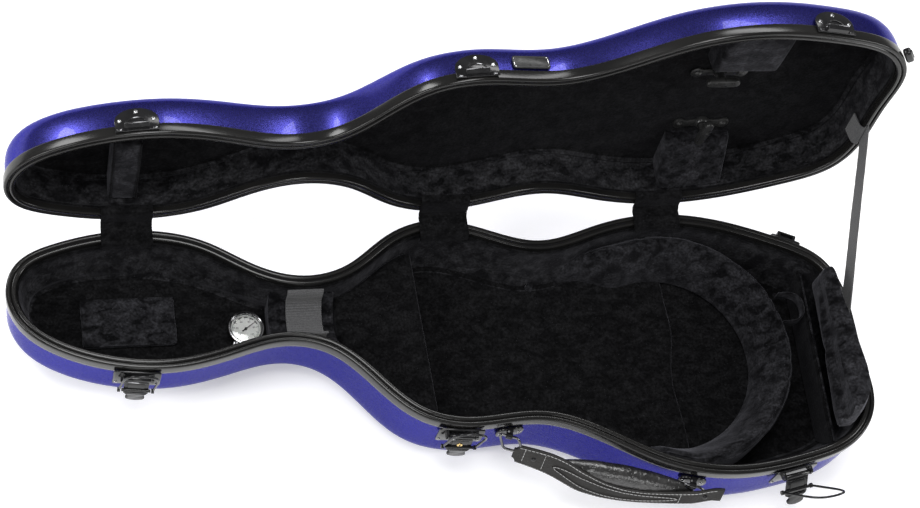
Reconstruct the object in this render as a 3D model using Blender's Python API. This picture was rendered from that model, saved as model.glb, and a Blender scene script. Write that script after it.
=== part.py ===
"""Shaped violin case: two violin-form shells on three hinges, with a velvet interior, bow holders,
draw latches, a carrying handle and a lid stay. Metres, +Z up. The case stands on its base, its length
runs along X with the scroll end at -X, the hinge side is +Y, and the lid stands open past upright."""

import math

import bmesh
import bpy
import numpy as np
from mathutils import Matrix, Vector

MM = 0.001

# Whole case. The rim plane is where the closed halves meet.
OUTLINE_POINTS = 64
RIM_Z = 92 * MM  # height of the rim plane over the stand face
BASE_DEPTH = 92 * MM
BASE_DEPTH_SCROLL = 70 * MM
LID_DEPTH = 55 * MM
LID_DEPTH_SCROLL = 50 * MM
LID_OPEN_DEG = 98.0
HINGE_Y = 142.8 * MM
SHELL_WALL = 2.5 * MM
GAP = 0.6 * MM  # clearance between nested shells and linings
BASE_STEP = (-150 * MM, -40 * MM)  # along X, where the base deepens from the scroll end to the body
FLOOR_STEP = (-190 * MM, -60 * MM)  # and its velvet floor
LID_STEP = (40 * MM, 180 * MM)  # and the lid with its velvet
BASE_SQUARENESS = 9.0  # superellipse exponent of a wall section
LID_SQUARENESS = 5.0
BASE_CAP = 0.72  # share of the half width at which a shell section turns flat
LID_CAP = 0.5

# Insets from the outer edge of the rim, inwards.
SHELL_INSET = 1.8 * MM
RIM_INNER = 9.5 * MM
DRAWN_LIMIT = 0.22  # most of the half width that a padded wall may take
BAND = 14 * MM  # height of the black band on each half
BAND_LID = 11 * MM

# Rim outline seen from above, in millimetres: scroll tip, front side, wide end, back side.
OUTLINE = (
    (-396, 84), (-386, 50), (-350, 22), (-300, 6), (-250, 3), (-200, 13), (-155, 23), (-115, 15),
    (-75, -21), (-40, -53), (5, -66), (75, -64), (125, -82), (180, -111), (250, -126), (320, -118),
    (374, -97), (395, -66), (394, -15), (389, 52), (375, 83), (330, 110), (270, 130), (212, 137),
    (150, 127), (95, 114), (40, 129), (-5, 138), (-50, 124), (-90, 96), (-130, 87), (-175, 100),
    (-215, 123), (-290, 137), (-350, 127), (-387, 107),
)
SPINE = ((-335, 75), (300, -3))  # ends of the centre line that the wall sections aim at

# Interior.
FLOOR_DEPTH = 64 * MM  # velvet floor under the rim plane, in the body bay
FLOOR_DEPTH_SCROLL = 52 * MM
LID_FLOOR_DEPTH = 42 * MM
LID_FLOOR_DEPTH_SCROLL = 38 * MM
FLOOR_PAD = 3 * MM
CUSHION_CENTRE = (215, 6)
CUSHION_OUTER = 116 * MM
CUSHION_INNER = 86 * MM

# Hardware along the hinge line and the front wall.
HINGE_X = (-287, 5, 213)
HINGE_WIDTH = 34 * MM
BARREL_RADIUS = 2.6 * MM
PIN_RADIUS = 1.0 * MM
LEAF_IN = 139.4 * MM
LEAF_OUT = 140.9 * MM
LATCH_X = (-285, 0, 307)
LATCH_LEVER_DEG = (10.0, 10.0, 33.0)  # how far each lever stands off the wall
LATCH_BAIL_DEG = (3.0, 3.0, 35.0)  # how far each bail leans out from upright
LATCH_BAIL_LEAN = (4 * MM, 6 * MM, 20 * MM)  # how far each bail has dropped sideways
BAIL_LENGTH = 38 * MM
HANDLE_X = (46, 211)
HANDLE_DROP_DEG = 65.0
HANDLE_OUT = 8 * MM  # from the brackets' feet to the line that the loops turn on
HANDLE_DOWN = 18 * MM  # and from the rim plane down to it
LOOP_REACH = (16 * MM, 14 * MM)  # from that line to each loop's outer bar
LOOP_SLIDE = (8 * MM, 10 * MM)  # how far each outer bar has slipped towards the wide end
GRIP_SAG = 11 * MM
NEEDLE_DEG = 35.0
STAY_X = 387 * MM
STAY_BASE_Y = 40 * MM  # middle of the stay where it crosses the base's rim
STAY_LID_Y = 30 * MM  # and the lid's, with the lid closed

COLOURS = {
    "shell": ((0.045, 0.045, 0.32), 0.18, 0.55),
    "rim": ((0.012, 0.012, 0.012), 0.35, 0.0),
    "velvet": ((0.006, 0.006, 0.007), 0.95, 0.0),
    "webbing": ((0.05, 0.05, 0.05), 0.85, 0.0),
    "leather": ((0.015, 0.015, 0.015), 0.5, 0.0),
    "black_metal": ((0.02, 0.02, 0.02), 0.3, 0.6),
    "steel": ((0.6, 0.6, 0.6), 0.25, 1.0),
    "black_plastic": ((0.015, 0.015, 0.015), 0.25, 0.0),
    "dial": ((0.85, 0.85, 0.83), 0.5, 0.0),
    "glass": ((0.9, 0.9, 0.9), 0.05, 0.0),
}


# ---------------------------------------------------------------- scene and mesh helpers

def clear_scene():
    for obj in list(bpy.data.objects):
        bpy.data.objects.remove(obj, do_unlink=True)


def material(name):
    found = bpy.data.materials.get(name)
    if found:
        return found
    colour, roughness, metallic = COLOURS[name]
    made = bpy.data.materials.new(name)
    made.use_nodes = True
    shader = made.node_tree.nodes["Principled BSDF"]
    shader.inputs["Base Color"].default_value = (*colour, 1.0)
    shader.inputs["Roughness"].default_value = roughness
    shader.inputs["Metallic"].default_value = metallic
    return made


def add_object(name, mesh_data, slot, matrix=None, parent=None):
    mesh = bpy.data.meshes.new(name)
    bmesh.ops.recalc_face_normals(mesh_data, faces=mesh_data.faces)
    mesh_data.to_mesh(mesh)
    mesh_data.free()
    mesh.shade_smooth()
    mesh.set_sharp_from_angle(angle=math.radians(35))
    obj = bpy.data.objects.new(name, mesh)
    bpy.context.scene.collection.objects.link(obj)
    obj.data.materials.append(material(slot))
    obj.parent = parent
    obj.matrix_local = matrix or Matrix()
    return obj


def add_empty(name, matrix, parent=None):
    empty = bpy.data.objects.new(name, None)
    bpy.context.scene.collection.objects.link(empty)
    empty.parent = parent
    empty.matrix_local = matrix
    return empty


def cutter(mesh_data, name):
    obj = add_object(name, mesh_data, "rim")
    obj.hide_render = True
    obj.display_type = "WIRE"
    return obj


def boolean(obj, other, operation):
    step = obj.modifiers.new(operation.lower(), "BOOLEAN")
    step.operation = operation
    step.solver = "EXACT"
    step.object = other


def box(low, high):
    """A box between two corners, in metres."""
    made = bmesh.new()
    size = Vector(high) - Vector(low)
    middle = (Vector(high) + Vector(low)) / 2
    bmesh.ops.create_cube(made, size=1.0, matrix=Matrix.Translation(middle) @ Matrix.Diagonal((*size, 1.0)))
    return made


def bevelled(made, width, segments=2):
    bmesh.ops.bevel(made, geom=list(made.edges), offset=width, segments=segments, affect="EDGES", profile=0.5)
    return made


def prism(points, low, high):
    """A flat outline in metres, extruded from low to high along Z."""
    made = bmesh.new()
    ring = [made.verts.new((x, y, low)) for x, y in points]
    face = made.faces.new(ring)
    moved = bmesh.ops.extrude_face_region(made, geom=[face])
    lift = Vector((0, 0, high - low))
    bmesh.ops.translate(made, verts=[v for v in moved["geom"] if isinstance(v, bmesh.types.BMVert)], vec=lift)
    return made


def rod(start, end, radius, segments=12):
    """A round bar between two points."""
    made = bmesh.new()
    start = Vector(start)
    end = Vector(end)
    turn = (end - start).to_track_quat("Z", "Y").to_matrix().to_4x4()
    place = Matrix.Translation((start + end) / 2) @ turn
    bmesh.ops.create_cone(
        made, cap_ends=True, segments=segments, radius1=radius, radius2=radius,
        depth=(end - start).length, matrix=place,
    )
    return made


def lathe(profile, segments=24):
    """A closed profile of (radius, height) turned about Z; a radius of zero closes on the axis."""
    made = bmesh.new()
    rings = []
    for radius, height in profile:
        if radius == 0:
            rings.append([made.verts.new((0, 0, height))])
            continue
        turns = [math.tau * k / segments for k in range(segments)]
        rings.append([made.verts.new((radius * math.cos(t), radius * math.sin(t), height)) for t in turns])
    pairs = list(zip(rings, rings[1:]))
    if len(rings[0]) > 1:
        pairs.append((rings[-1], rings[0]))
    for first, second in pairs:
        join_rings(made, first, second)
    return made


def join_rings(made, first, second):
    count = max(len(first), len(second))
    for k in range(count):
        following = (k + 1) % count
        if len(first) == 1:
            made.faces.new((first[0], second[k], second[following]))
        elif len(second) == 1:
            made.faces.new((first[k], second[0], first[following]))
        else:
            made.faces.new((first[k], second[k], second[following], first[following]))


def tube(points, radius, sides=8, closed=False):
    """A round wire along points, as one closed solid."""
    made = bmesh.new()
    path = [Vector(p) for p in points]
    count = len(path)
    rings = []
    side = None
    for k, point in enumerate(path):
        before = path[k - 1] if closed or k else point
        after = path[(k + 1) % count] if closed or k < count - 1 else point
        along = (after - before).normalized()
        if side is None:
            side = along.orthogonal().normalized()
        side = (side - along * side.dot(along)).normalized()
        other = along.cross(side)
        turns = [math.tau * n / sides for n in range(sides)]
        ring = [point + radius * (math.cos(t) * side + math.sin(t) * other) for t in turns]
        rings.append([made.verts.new(p) for p in ring])
    for first, second in zip(rings, rings[1:]):
        join_rings(made, first, second)
    if closed:
        join_rings(made, rings[-1], rings[0])
    else:
        made.faces.new(rings[0])
        made.faces.new(rings[-1])
    return made


def band(points, across, width, thickness):
    """A flat strap along points; across is its width direction, thickness is laid to one side."""
    made = bmesh.new()
    path = [Vector(p) for p in points]
    across = Vector(across).normalized()
    rings = []
    for k, point in enumerate(path):
        along = (path[min(k + 1, len(path) - 1)] - path[max(k - 1, 0)]).normalized()
        up = across.cross(along).normalized()
        corners = ((-0.5, 0), (0.5, 0), (0.5, 1), (-0.5, 1))
        ring = [point + across * width * a + up * thickness * b for a, b in corners]
        rings.append([made.verts.new(p) for p in ring])
    for first, second in zip(rings, rings[1:]):
        join_rings(made, first, second)
    made.faces.new(rings[0])
    made.faces.new(rings[-1])
    return made


def union(name, parts, slot, matrix=None, parent=None):
    """One body from overlapping meshes; the first carries the others as Boolean unions."""
    obj = add_object(name, parts[0], slot, matrix, parent)
    for k, part in enumerate(parts[1:]):
        tool = add_object(f"{name}_join_{k}", part, slot, matrix, parent)
        tool.hide_render = True
        tool.display_type = "WIRE"
        boolean(obj, tool, "UNION")
    return obj


# ---------------------------------------------------------------- the case's outline and sections

def smoothstep(low, high, x):
    t = np.clip((x - low) / (high - low), 0.0, 1.0)
    return t * t * (3 - 2 * t)


def spline_loop(points, per_span=24):
    """A smooth closed curve through the points: a periodic cubic spline over chord length."""
    points = np.array(points, float)
    count = len(points)
    step = np.linalg.norm(np.roll(points, -1, axis=0) - points, axis=1)
    before = np.roll(step, 1)
    matrix = np.zeros((count, count))
    for k in range(count):
        matrix[k, k] = 2 * (before[k] + step[k])
        matrix[k, (k - 1) % count] = step[k]
        matrix[k, (k + 1) % count] = before[k]
    rise = (np.roll(points, -1, axis=0) - points) / step[:, None]
    slope = np.linalg.solve(matrix, 3 * (rise * before[:, None] + np.roll(rise, 1, axis=0) * step[:, None]))
    curve = []
    for k in range(count):
        after = (k + 1) % count
        for t in np.arange(per_span) / per_span:
            first = (1 + 2 * t) * (1 - t) ** 2 * points[k] + t * t * (3 - 2 * t) * points[after]
            second = t * (1 - t) ** 2 * slope[k] - t * t * (1 - t) * slope[after]
            curve.append(first + second * step[k])
    return np.array(curve)


def sampled_outline(count):
    """(points, outward normals) along the rim's outer edge, closer together where it bends."""
    curve = spline_loop(OUTLINE) * MM
    ahead = np.roll(curve, -1, axis=0) - curve
    length = np.linalg.norm(ahead, axis=1)
    heading = ahead / length[:, None]
    turn = np.abs(np.cross(np.roll(heading, 1, axis=0), heading)) / length
    weight = length * (1 + 0.04 * np.minimum(turn, 60))
    travel = np.concatenate([[0], np.cumsum(weight)])
    places = np.linspace(0, travel[-1], count, endpoint=False)
    closed = np.vstack([curve, curve[:1]])
    points = np.stack([np.interp(places, travel, closed[:, axis]) for axis in (0, 1)], axis=1)
    tangent = np.roll(heading, 1, axis=0) + heading
    tangent = np.vstack([tangent, tangent[:1]])
    tangent = np.stack([np.interp(places, travel, tangent[:, axis]) for axis in (0, 1)], axis=1)
    tangent /= np.linalg.norm(tangent, axis=1)[:, None]
    return points, np.stack([tangent[:, 1], -tangent[:, 0]], axis=1)


EDGE, NORMAL = sampled_outline(OUTLINE_POINTS)


def spine_feet(points):
    """For each outline point, the nearest point of the centre line."""
    start = np.array(SPINE[0]) * MM
    along = np.array(SPINE[1]) * MM - start
    t = np.clip((points - start) @ along / (along @ along), 0.0, 1.0)
    return start + t[:, None] * along


def inset(distance):
    """The outline moved inwards by a small distance along its normals."""
    return EDGE - NORMAL * distance


def drawn_in(distance):
    """The rim's inner edge drawn in towards the centre line until it is about distance inside."""
    start = inset(RIM_INNER)
    feet = spine_feet(start)
    reach = np.linalg.norm(start - feet, axis=1)
    share = np.minimum((distance - RIM_INNER) / reach, DRAWN_LIMIT)
    return start + (feet - start) * share[:, None]


def base_depth(x):
    return BASE_DEPTH_SCROLL + (BASE_DEPTH - BASE_DEPTH_SCROLL) * smoothstep(*BASE_STEP, x)


def lid_depth(x):
    return LID_DEPTH_SCROLL + (LID_DEPTH - LID_DEPTH_SCROLL) * smoothstep(*LID_STEP, x)


def base_floor(x):
    return FLOOR_DEPTH_SCROLL + (FLOOR_DEPTH - FLOOR_DEPTH_SCROLL) * smoothstep(*FLOOR_STEP, x)


def lid_floor(x):
    deeper = LID_FLOOR_DEPTH - LID_FLOOR_DEPTH_SCROLL
    return LID_FLOOR_DEPTH_SCROLL + deeper * smoothstep(*LID_STEP, x)


def section_rings(start_inset, depth, trim, squareness, cap, first, shares):
    """Rings of a rounded tub, from a ring at depth first down to its flat cap. trim shortens the depth."""
    edge = inset(start_inset)
    feet = spine_feet(edge)
    full = depth(edge[:, 0]) - trim
    rings = [(edge, np.full(len(edge), first))]
    for share in shares:
        fall = 1.0 if share == cap else (1 - share ** squareness) ** (1 / squareness)
        rings.append((feet + (edge - feet) * share, full * fall))
    return rings


def case_solid(rings_out, rings_in, sign):
    """A closed tub from an outer and an inner stack of rings. sign is -1 for the base, +1 for the lid."""
    made = bmesh.new()
    stacks = []
    for rings in (rings_out, rings_in):
        stack = []
        for points, depth in rings:
            heights = sign * np.broadcast_to(depth, len(points))
            stack.append([made.verts.new((x, y, z)) for (x, y), z in zip(points, heights)])
        stacks.append(stack)
        for first, second in zip(stack, stack[1:]):
            join_rings(made, first, second)
        made.faces.new(stack[-1])
    join_rings(made, stacks[0][0], stacks[1][0])
    bmesh.ops.triangulate(made, faces=[face for face in made.faces if len(face.verts) > 4])
    return made


def filled(rings, sign):
    """A closed solid from one stack of rings, flat at both ends."""
    made = bmesh.new()
    stack = []
    for points, depth in rings:
        heights = sign * np.broadcast_to(depth, len(points))
        stack.append([made.verts.new((x, y, z)) for (x, y), z in zip(points, heights)])
    for first, second in zip(stack, stack[1:]):
        join_rings(made, first, second)
    made.faces.new(stack[0])
    made.faces.new(stack[-1])
    bmesh.ops.triangulate(made, faces=[face for face in made.faces if len(face.verts) > 4])
    return made


BASE_SHARES = (0.995, 0.985, 0.95, 0.87, BASE_CAP)
LID_SHARES = (0.98, 0.93, 0.85, 0.7, LID_CAP)


def shell_rings(half, extra, top):
    """The shell surface of one half, moved inwards by extra, starting at depth top."""
    if half == "base":
        form = (BASE_SQUARENESS, BASE_CAP, top, BASE_SHARES)
        return section_rings(SHELL_INSET + extra, base_depth, extra, *form)
    form = (LID_SQUARENESS, LID_CAP, top, LID_SHARES)
    return section_rings(SHELL_INSET + extra, lid_depth, extra, *form)


def room_rings(half, gap, top):
    """The velvet surface of one half's inside, moved gap into the room."""
    floor = base_floor if half == "base" else lid_floor
    steps = ((top, 9.5), (22 * MM, 11.0))
    foot = 16.0
    if half == "base":
        steps = ((top, 9.5), (25 * MM, 12.0), (44 * MM, 17.0))
        foot = 26.0
    rings = []
    for depth, distance in steps:
        points = drawn_in(distance * MM)
        rings.append((points - gap * outward(points), depth))
    points = drawn_in(foot * MM)
    points = points - gap * outward(points)
    rings.append((points, floor(points[:, 0]) - gap))
    return rings


def outward(points):
    away = points - spine_feet(points)
    return away / np.linalg.norm(away, axis=1)[:, None]


# ---------------------------------------------------------------- shells, rims and linings

RIM_SKIRT = 1.4 * MM  # thickness of the rim outside the shell
RIM_SEAT = 6.6 * MM  # how far the rim's solid top reaches down over the shell's edge


def add_shell(half, sign, parent):
    top = RIM_SEAT + 0.4 * MM
    outer = shell_rings(half, 0.0, top)
    inner = shell_rings(half, SHELL_WALL, top)
    return add_object(f"{half}_shell", case_solid(outer, inner, sign), "shell", parent=parent)


def add_rim(half, sign, band_height, parent):
    """The black extrusion that caps a half: a skirt over the shell and a grooved top."""
    face = 0.4 * MM
    profile = (
        (0.0, band_height), (0.0, face + 0.6 * MM), (0.8 * MM, face), (3.6 * MM, face),
        (4.7 * MM, face + 1.2 * MM), (5.8 * MM, face), (RIM_INNER, face + 0.6 * MM),
        (RIM_INNER, RIM_SEAT), (RIM_SKIRT, RIM_SEAT), (RIM_SKIRT, band_height),
    )
    made = bmesh.new()
    rings = []
    for distance, depth in profile:
        rings.append([made.verts.new((x, y, sign * depth)) for x, y in inset(distance)])
    for first, second in zip(rings, rings[1:] + rings[:1]):
        join_rings(made, first, second)
    return add_object(f"{half}_rim", made, "rim", parent=parent)


def add_lining(half, sign, parent):
    top = RIM_SEAT + GAP
    outer = shell_rings(half, SHELL_WALL + GAP, top)
    inner = room_rings(half, 0.0, top)
    return add_object(f"{half}_lining", case_solid(outer, inner, sign), "velvet", parent=parent)


def in_room(name, made, slot, half, sign, parent, gap=GAP):
    """A piece trimmed to the velvet room of its half, so that it follows the walls and floor."""
    obj = add_object(name, made, slot, parent=parent)
    tool = cutter(filled(room_rings(half, gap, 2 * MM), sign), f"{name}_room")
    tool.parent = parent
    boolean(obj, tool, "INTERSECT")
    return obj


# ---------------------------------------------------------------- base interior

def add_body_floor_pad(parent):
    outline = ((229, -130), (229, 130), (-21, 130), (-21, 21), (-13, -59), (-13, -130))
    points = [(x * MM, y * MM) for x, y in outline]
    made = prism(points, -FLOOR_DEPTH - 5 * MM, -FLOOR_DEPTH + FLOOR_PAD + GAP)
    in_room("body_floor_pad", made, "velvet", "base", -1, parent)


def add_neck_platform(parent):
    top = -30 * MM
    outline = ((-100, 120), (-100, -40), (-14, -60), (-22, 20), (-22, 125))
    made = prism([(x * MM, y * MM) for x, y in outline], -80 * MM, top)
    in_room("neck_platform", made, "velvet", "base", -1, parent)


def add_neck_cradle(parent):
    """A padded bridge across the neck with a rounded trough for the violin's neck."""
    low = (-162 * MM, -20 * MM, -80 * MM)
    high = (-101 * MM, 120 * MM, -16 * MM)
    made = box(low, high)
    obj = in_room("neck_cradle", made, "velvet", "base", -1, parent, 2 * GAP)
    trough = rod((-180 * MM, 57 * MM, -12 * MM), (-80 * MM, 50 * MM, -12 * MM), 24 * MM, 24)
    boolean(obj, cutter_in(trough, "neck_cradle_trough", parent), "DIFFERENCE")


def cutter_in(made, name, parent):
    tool = cutter(made, name)
    tool.parent = parent
    return tool


def add_neck_strap(parent):
    """Woven strap laid across the neck, dipping into the cradle's trough."""
    middle = Vector((-129 * MM, 53.4 * MM, -12 * MM))
    points = []
    for k in range(13):
        t = math.radians(-56 + 9.5 * k)
        points.append(middle + Vector((0, 22.2 * MM * math.sin(t), -22.2 * MM * math.cos(t))))
    add_object("neck_strap", band(points, (1, 0, 0), 33 * MM, 1.4 * MM), "webbing", parent=parent)


def add_scroll_pocket(parent):
    low = (-330 * MM, 42 * MM, -FLOOR_DEPTH_SCROLL + GAP)
    high = (-243 * MM, 92 * MM, -FLOOR_DEPTH_SCROLL + 7 * MM)
    made = bevelled(box(low, high), 3 * MM, 2)
    add_object("scroll_pocket", made, "velvet", parent=parent)


def add_tail_cushion(parent):
    """Crescent cushion round the violin's lower end: high at its outer wall, sloping inwards."""
    foot = -FLOOR_DEPTH - 4 * MM
    slope = (
        (CUSHION_OUTER, foot), (CUSHION_OUTER, -19 * MM), (CUSHION_OUTER - 4 * MM, -14 * MM),
        (CUSHION_OUTER - 11 * MM, -16 * MM), (CUSHION_INNER + 4 * MM, -52 * MM), (CUSHION_INNER, foot),
    )
    made = bmesh.new()
    rings = []
    turns = [math.radians(-112 + 218 * k / 28) for k in range(29)]
    for t in turns:
        ring = [(math.cos(t) * r, math.sin(t) * r, z) for r, z in slope]
        centre = Vector((CUSHION_CENTRE[0] * MM, CUSHION_CENTRE[1] * MM, 0))
        rings.append([made.verts.new(centre + Vector(p)) for p in ring])
    for first, second in zip(rings, rings[1:]):
        join_rings(made, first, second)
    made.faces.new(rings[0])
    made.faces.new(rings[-1])
    obj = in_room("tail_cushion", made, "velvet", "base", -1, parent)
    pad = box((-30 * MM, -130 * MM, -90 * MM), (230 * MM, 130 * MM, -FLOOR_DEPTH + FLOOR_PAD + 0.8 * MM))
    boolean(obj, cutter_in(pad, "tail_cushion_floor", parent), "DIFFERENCE")


def add_divider(parent):
    low = (355 * MM, -110 * MM, -80 * MM)
    high = (358 * MM, 90 * MM, -22 * MM)
    in_room("divider_panel", box(low, high), "velvet", "base", -1, parent)


def add_pull_loop(parent):
    """Velvet pull loop standing out of the cushion's outer wall."""
    start = Vector((329 * MM, 44 * MM, -26 * MM))
    points = []
    for k in range(13):
        t = math.radians(100 - 200 * k / 12)
        points.append(start + Vector((18 * MM * math.cos(t) + 5 * MM, 15 * MM * math.sin(t), 0)))
    add_object("pull_loop", band(points, (0, 0, 1), 14 * MM, 1.5 * MM), "velvet", parent=parent)


def add_hygrometer(parent):
    """Round dial hygrometer lying face up beside the neck cradle."""
    place = add_empty("hygrometer_place", Matrix.Translation((-181 * MM, 55 * MM, -50.5 * MM)), parent)
    case = ((0, 0), (15.5 * MM, 0), (16.5 * MM, 1 * MM), (16.5 * MM, 7.5 * MM), (15.6 * MM, 8.6 * MM),
            (14.2 * MM, 8.0 * MM), (14.2 * MM, 3.0 * MM), (0, 3.0 * MM))
    add_object("hygrometer_case", lathe(case), "steel", parent=place)
    dial = ((0, 3.3 * MM), (13.8 * MM, 3.3 * MM), (13.8 * MM, 4.1 * MM), (0, 4.1 * MM))
    add_object("hygrometer_dial", lathe(dial), "dial", parent=place)
    lens = ((0, 6.6 * MM), (13.8 * MM, 6.6 * MM), (13.8 * MM, 7.4 * MM), (0, 7.4 * MM))
    add_object("hygrometer_lens", lathe(lens), "glass", parent=place)
    pointer = add_empty("hygrometer_pointer", Matrix.Rotation(math.radians(NEEDLE_DEG), 4, "Z"), place)
    outline = ((-3, -0.5), (9.5, -0.25), (9.5, 0.25), (-3, 0.5))
    blade = prism([(x * MM, y * MM) for x, y in outline], 4.9 * MM, 5.5 * MM)
    hub = rod((0, 0, 4.4 * MM), (0, 0, 6.0 * MM), 1.4 * MM, 12)
    union("hygrometer_needle", [blade, hub], "black_metal", parent=pointer)


FLAP_HEIGHT = 44 * MM


def add_accessory_flap(parent):
    """Padded velvet flap of the accessory compartment, standing up against the wide end."""
    pivot = add_empty("accessory_flap_axis", Matrix.Translation((360 * MM, 0, -10 * MM)), parent)
    outline = ((0, -82), (13, -81), (20, -62), (15, 46), (8, 61), (-3, 64))
    made = prism([(x * MM, y * MM) for x, y in outline], 0, FLAP_HEIGHT)
    bevelled(made, 5 * MM, 2)
    add_object("accessory_flap", made, "velvet", parent=pivot)


# ---------------------------------------------------------------- hinges, covers and stay

def add_hinge(number, x, base, lid):
    """Butt hinge on the back wall: two knuckles on the base leaf, one on the lid leaf, and a pin."""
    half = HINGE_WIDTH / 2
    inner = 5.5 * MM
    slip = 0.4 * MM
    outer_spans = ((-half, -inner), (inner, half))
    inner_spans = ((slip - inner, inner - slip),)
    for name, sign, reach, spans, owner in (
        ("base", -1, 20 * MM, outer_spans, base), ("lid", 1, 18 * MM, inner_spans, lid)
    ):
        add_leaf(f"hinge_{number}_{name}_leaf", x * MM, sign, reach, spans, owner)
    pin = rod((x * MM - half, HINGE_Y, 0), (x * MM + half, HINGE_Y, 0), PIN_RADIUS, 10)
    add_object(f"hinge_{number}_pin", pin, "steel", parent=base)


def add_leaf(name, middle, sign, reach, spans, owner):
    """One leaf: a plate on the wall, and a neck and a knuckle over each span along the pin."""
    half = HINGE_WIDTH / 2
    clear = BARREL_RADIUS + 0.8 * MM
    parts = [slab(middle - half, middle + half, LEAF_IN, LEAF_OUT, sign * clear, sign * reach)]
    for start, end in spans:
        left = middle + start + 0.1 * MM
        right = middle + end - 0.1 * MM
        neck = (LEAF_IN + 0.1 * MM, LEAF_OUT - 0.1 * MM, sign * MM, sign * (clear + MM))
        parts.append(slab(left, right, *neck))
        parts.append(rod((middle + start, HINGE_Y, 0), (middle + end, HINGE_Y, 0), BARREL_RADIUS, 14))
    leaf = union(name, parts, "black_metal", parent=owner)
    past = half + MM
    bore = rod((middle - past, HINGE_Y, 0), (middle + past, HINGE_Y, 0), PIN_RADIUS + 0.35 * MM, 12)
    boolean(leaf, cutter_in(bore, f"{name}_bore", owner), "DIFFERENCE")


def slab(x0, x1, y0, y1, z0, z1):
    return box((x0, y0, min(z0, z1)), (x1, y1, max(z0, z1)))


def lid_point(y, z):
    """Where a point of the closed lid, at (y, z) from the rim plane, stands when the lid is open."""
    turn = math.radians(LID_OPEN_DEG)
    dy = y - HINGE_Y
    return (HINGE_Y + dy * math.cos(turn) + z * math.sin(turn), -dy * math.sin(turn) + z * math.cos(turn))


def add_hinge_cover(number, x, parent):
    """Velvet strip that crosses from the base's rim to the lid's rim and hides a hinge."""
    slack = 0.4 * MM
    half = 23 * MM
    ends = [wall_frame(x - half / MM, 1), wall_frame(x + half / MM, 1)]
    inner = min(end.translation.y for end in ends) - RIM_INNER - 1 * MM
    path = (
        (inner - 3.6 * MM, -14 * MM), (inner - 1.9 * MM, -3 * MM), (inner - slack, slack),
        (139 * MM, slack),
        (141.4 * MM, 2.6 * MM), lid_point(138 * MM, -slack), lid_point(inner - 2 * slack, -slack),
        lid_point(inner - 2.6 * MM, 8 * MM),
    )
    points = [(x * MM, y, z) for y, z in path]
    strip = band(points, (1, 0, 0), 2 * half, 0.8 * MM)
    add_object(f"hinge_cover_{number}", strip, "velvet", parent=parent)


def add_stay_strap(parent):
    """Webbing stay that stops the lid, from the face of the base's rim to the face of the lid's rim."""
    made = bmesh.new()
    slack = 0.6 * MM
    rings = []
    for share in (0.0, 0.25, 0.5, 0.75, 1.0):
        ring = []
        for side in (-1, 1):
            low = Vector((STAY_BASE_Y + side * 14 * MM, slack))
            high = Vector(lid_point(STAY_LID_Y + side * 12.5 * MM, -slack))
            y, z = low.lerp(high, share)
            ring.append((y, z))
        (y0, z0), (y1, z1) = ring
        x0 = STAY_X - 0.7 * MM
        x1 = STAY_X + 0.7 * MM
        rings.append([made.verts.new(p) for p in ((x0, y0, z0), (x0, y1, z1), (x1, y1, z1), (x1, y0, z0))])
    for first, second in zip(rings, rings[1:]):
        join_rings(made, first, second)
    made.faces.new(rings[0])
    made.faces.new(rings[-1])
    add_object("stay_strap", made, "webbing", parent=parent)


# ---------------------------------------------------------------- front hardware

def wall_frame(x, side):
    """Matrix at the rim's outer edge, front (-1) or back (+1): X along the wall, Y outwards, Z up."""
    curve = spline_loop(OUTLINE) * MM
    ahead = np.roll(curve, -1, axis=0) - curve
    past = (curve[:, 1] - spine_feet(curve)[:, 1]) * side
    chosen = [k for k in range(len(curve)) if past[k] > 0]
    nearest = min(chosen, key=lambda k: abs(curve[k][0] - x * MM))
    along = Vector((*ahead[nearest], 0)).normalized()
    out = Vector((along.y, -along.x, 0))
    place = Matrix((along, out, Vector((0, 0, 1)))).transposed().to_4x4()
    return Matrix.Translation((*curve[nearest], 0)) @ place


def add_latch_plate(number, frame, parent):
    plate = bevelled(box((-21 * MM, 0.5 * MM, -34 * MM), (21 * MM, 2.3 * MM, -6 * MM)), 0.5 * MM, 1)
    boss = box((-13 * MM, -0.9 * MM, -32 * MM), (13 * MM, 1.5 * MM, -BAND - 0.6 * MM))
    ears = []
    for s in (-13.6 * MM, 13.6 * MM):
        ears.append(box((s - 1.2 * MM, 1.5 * MM, -16 * MM), (s + 1.2 * MM, 8.4 * MM, -8 * MM)))
    union(f"latch_{number}_plate", [plate, boss, *ears], "black_metal", frame, parent)


LEVER_PIVOT = (0, 6 * MM, -12 * MM)
BAIL_PIVOT = (0, 1.6 * MM, -16 * MM)  # from the lever's pivot, with the lever flat


def add_latch(number, x, lever_deg, bail_deg, lean, base):
    frame = wall_frame(x, -1)
    place = add_empty(f"latch_{number}_place", frame, base)
    add_latch_plate(number, Matrix(), place)
    turn = Matrix.Rotation(math.radians(lever_deg), 4, "X")
    lever_axis = add_empty(f"latch_{number}_lever_axis", Matrix.Translation(LEVER_PIVOT) @ turn, place)
    barrel = rod((-12 * MM, 0, 0), (12 * MM, 0, 0), 2.2 * MM, 12)
    arm = box((-11 * MM, -1.2 * MM, -24 * MM), (11 * MM, 1.2 * MM, -0.5 * MM))
    tab = ((-9, 0), (9, 0), (10.5, 7), (8, 11), (0, 13), (-8, 11), (-10.5, 7))
    thumb = prism([(x * MM, y * MM) for x, y in tab], -1.1 * MM, 1.1 * MM)
    bent = Matrix.Rotation(math.radians(-96), 4, "X")
    thumb.transform(Matrix.Translation((0, 0.8 * MM, -22 * MM)) @ bent)
    trunnion = rod((-12.6 * MM, *BAIL_PIVOT[1:]), (12.6 * MM, *BAIL_PIVOT[1:]), 1.5 * MM, 10)
    union(f"latch_{number}_lever", [arm, barrel, thumb, trunnion], "black_metal", parent=lever_axis)
    add_bail(number, lever_deg + bail_deg, lean, lever_axis)


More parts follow.
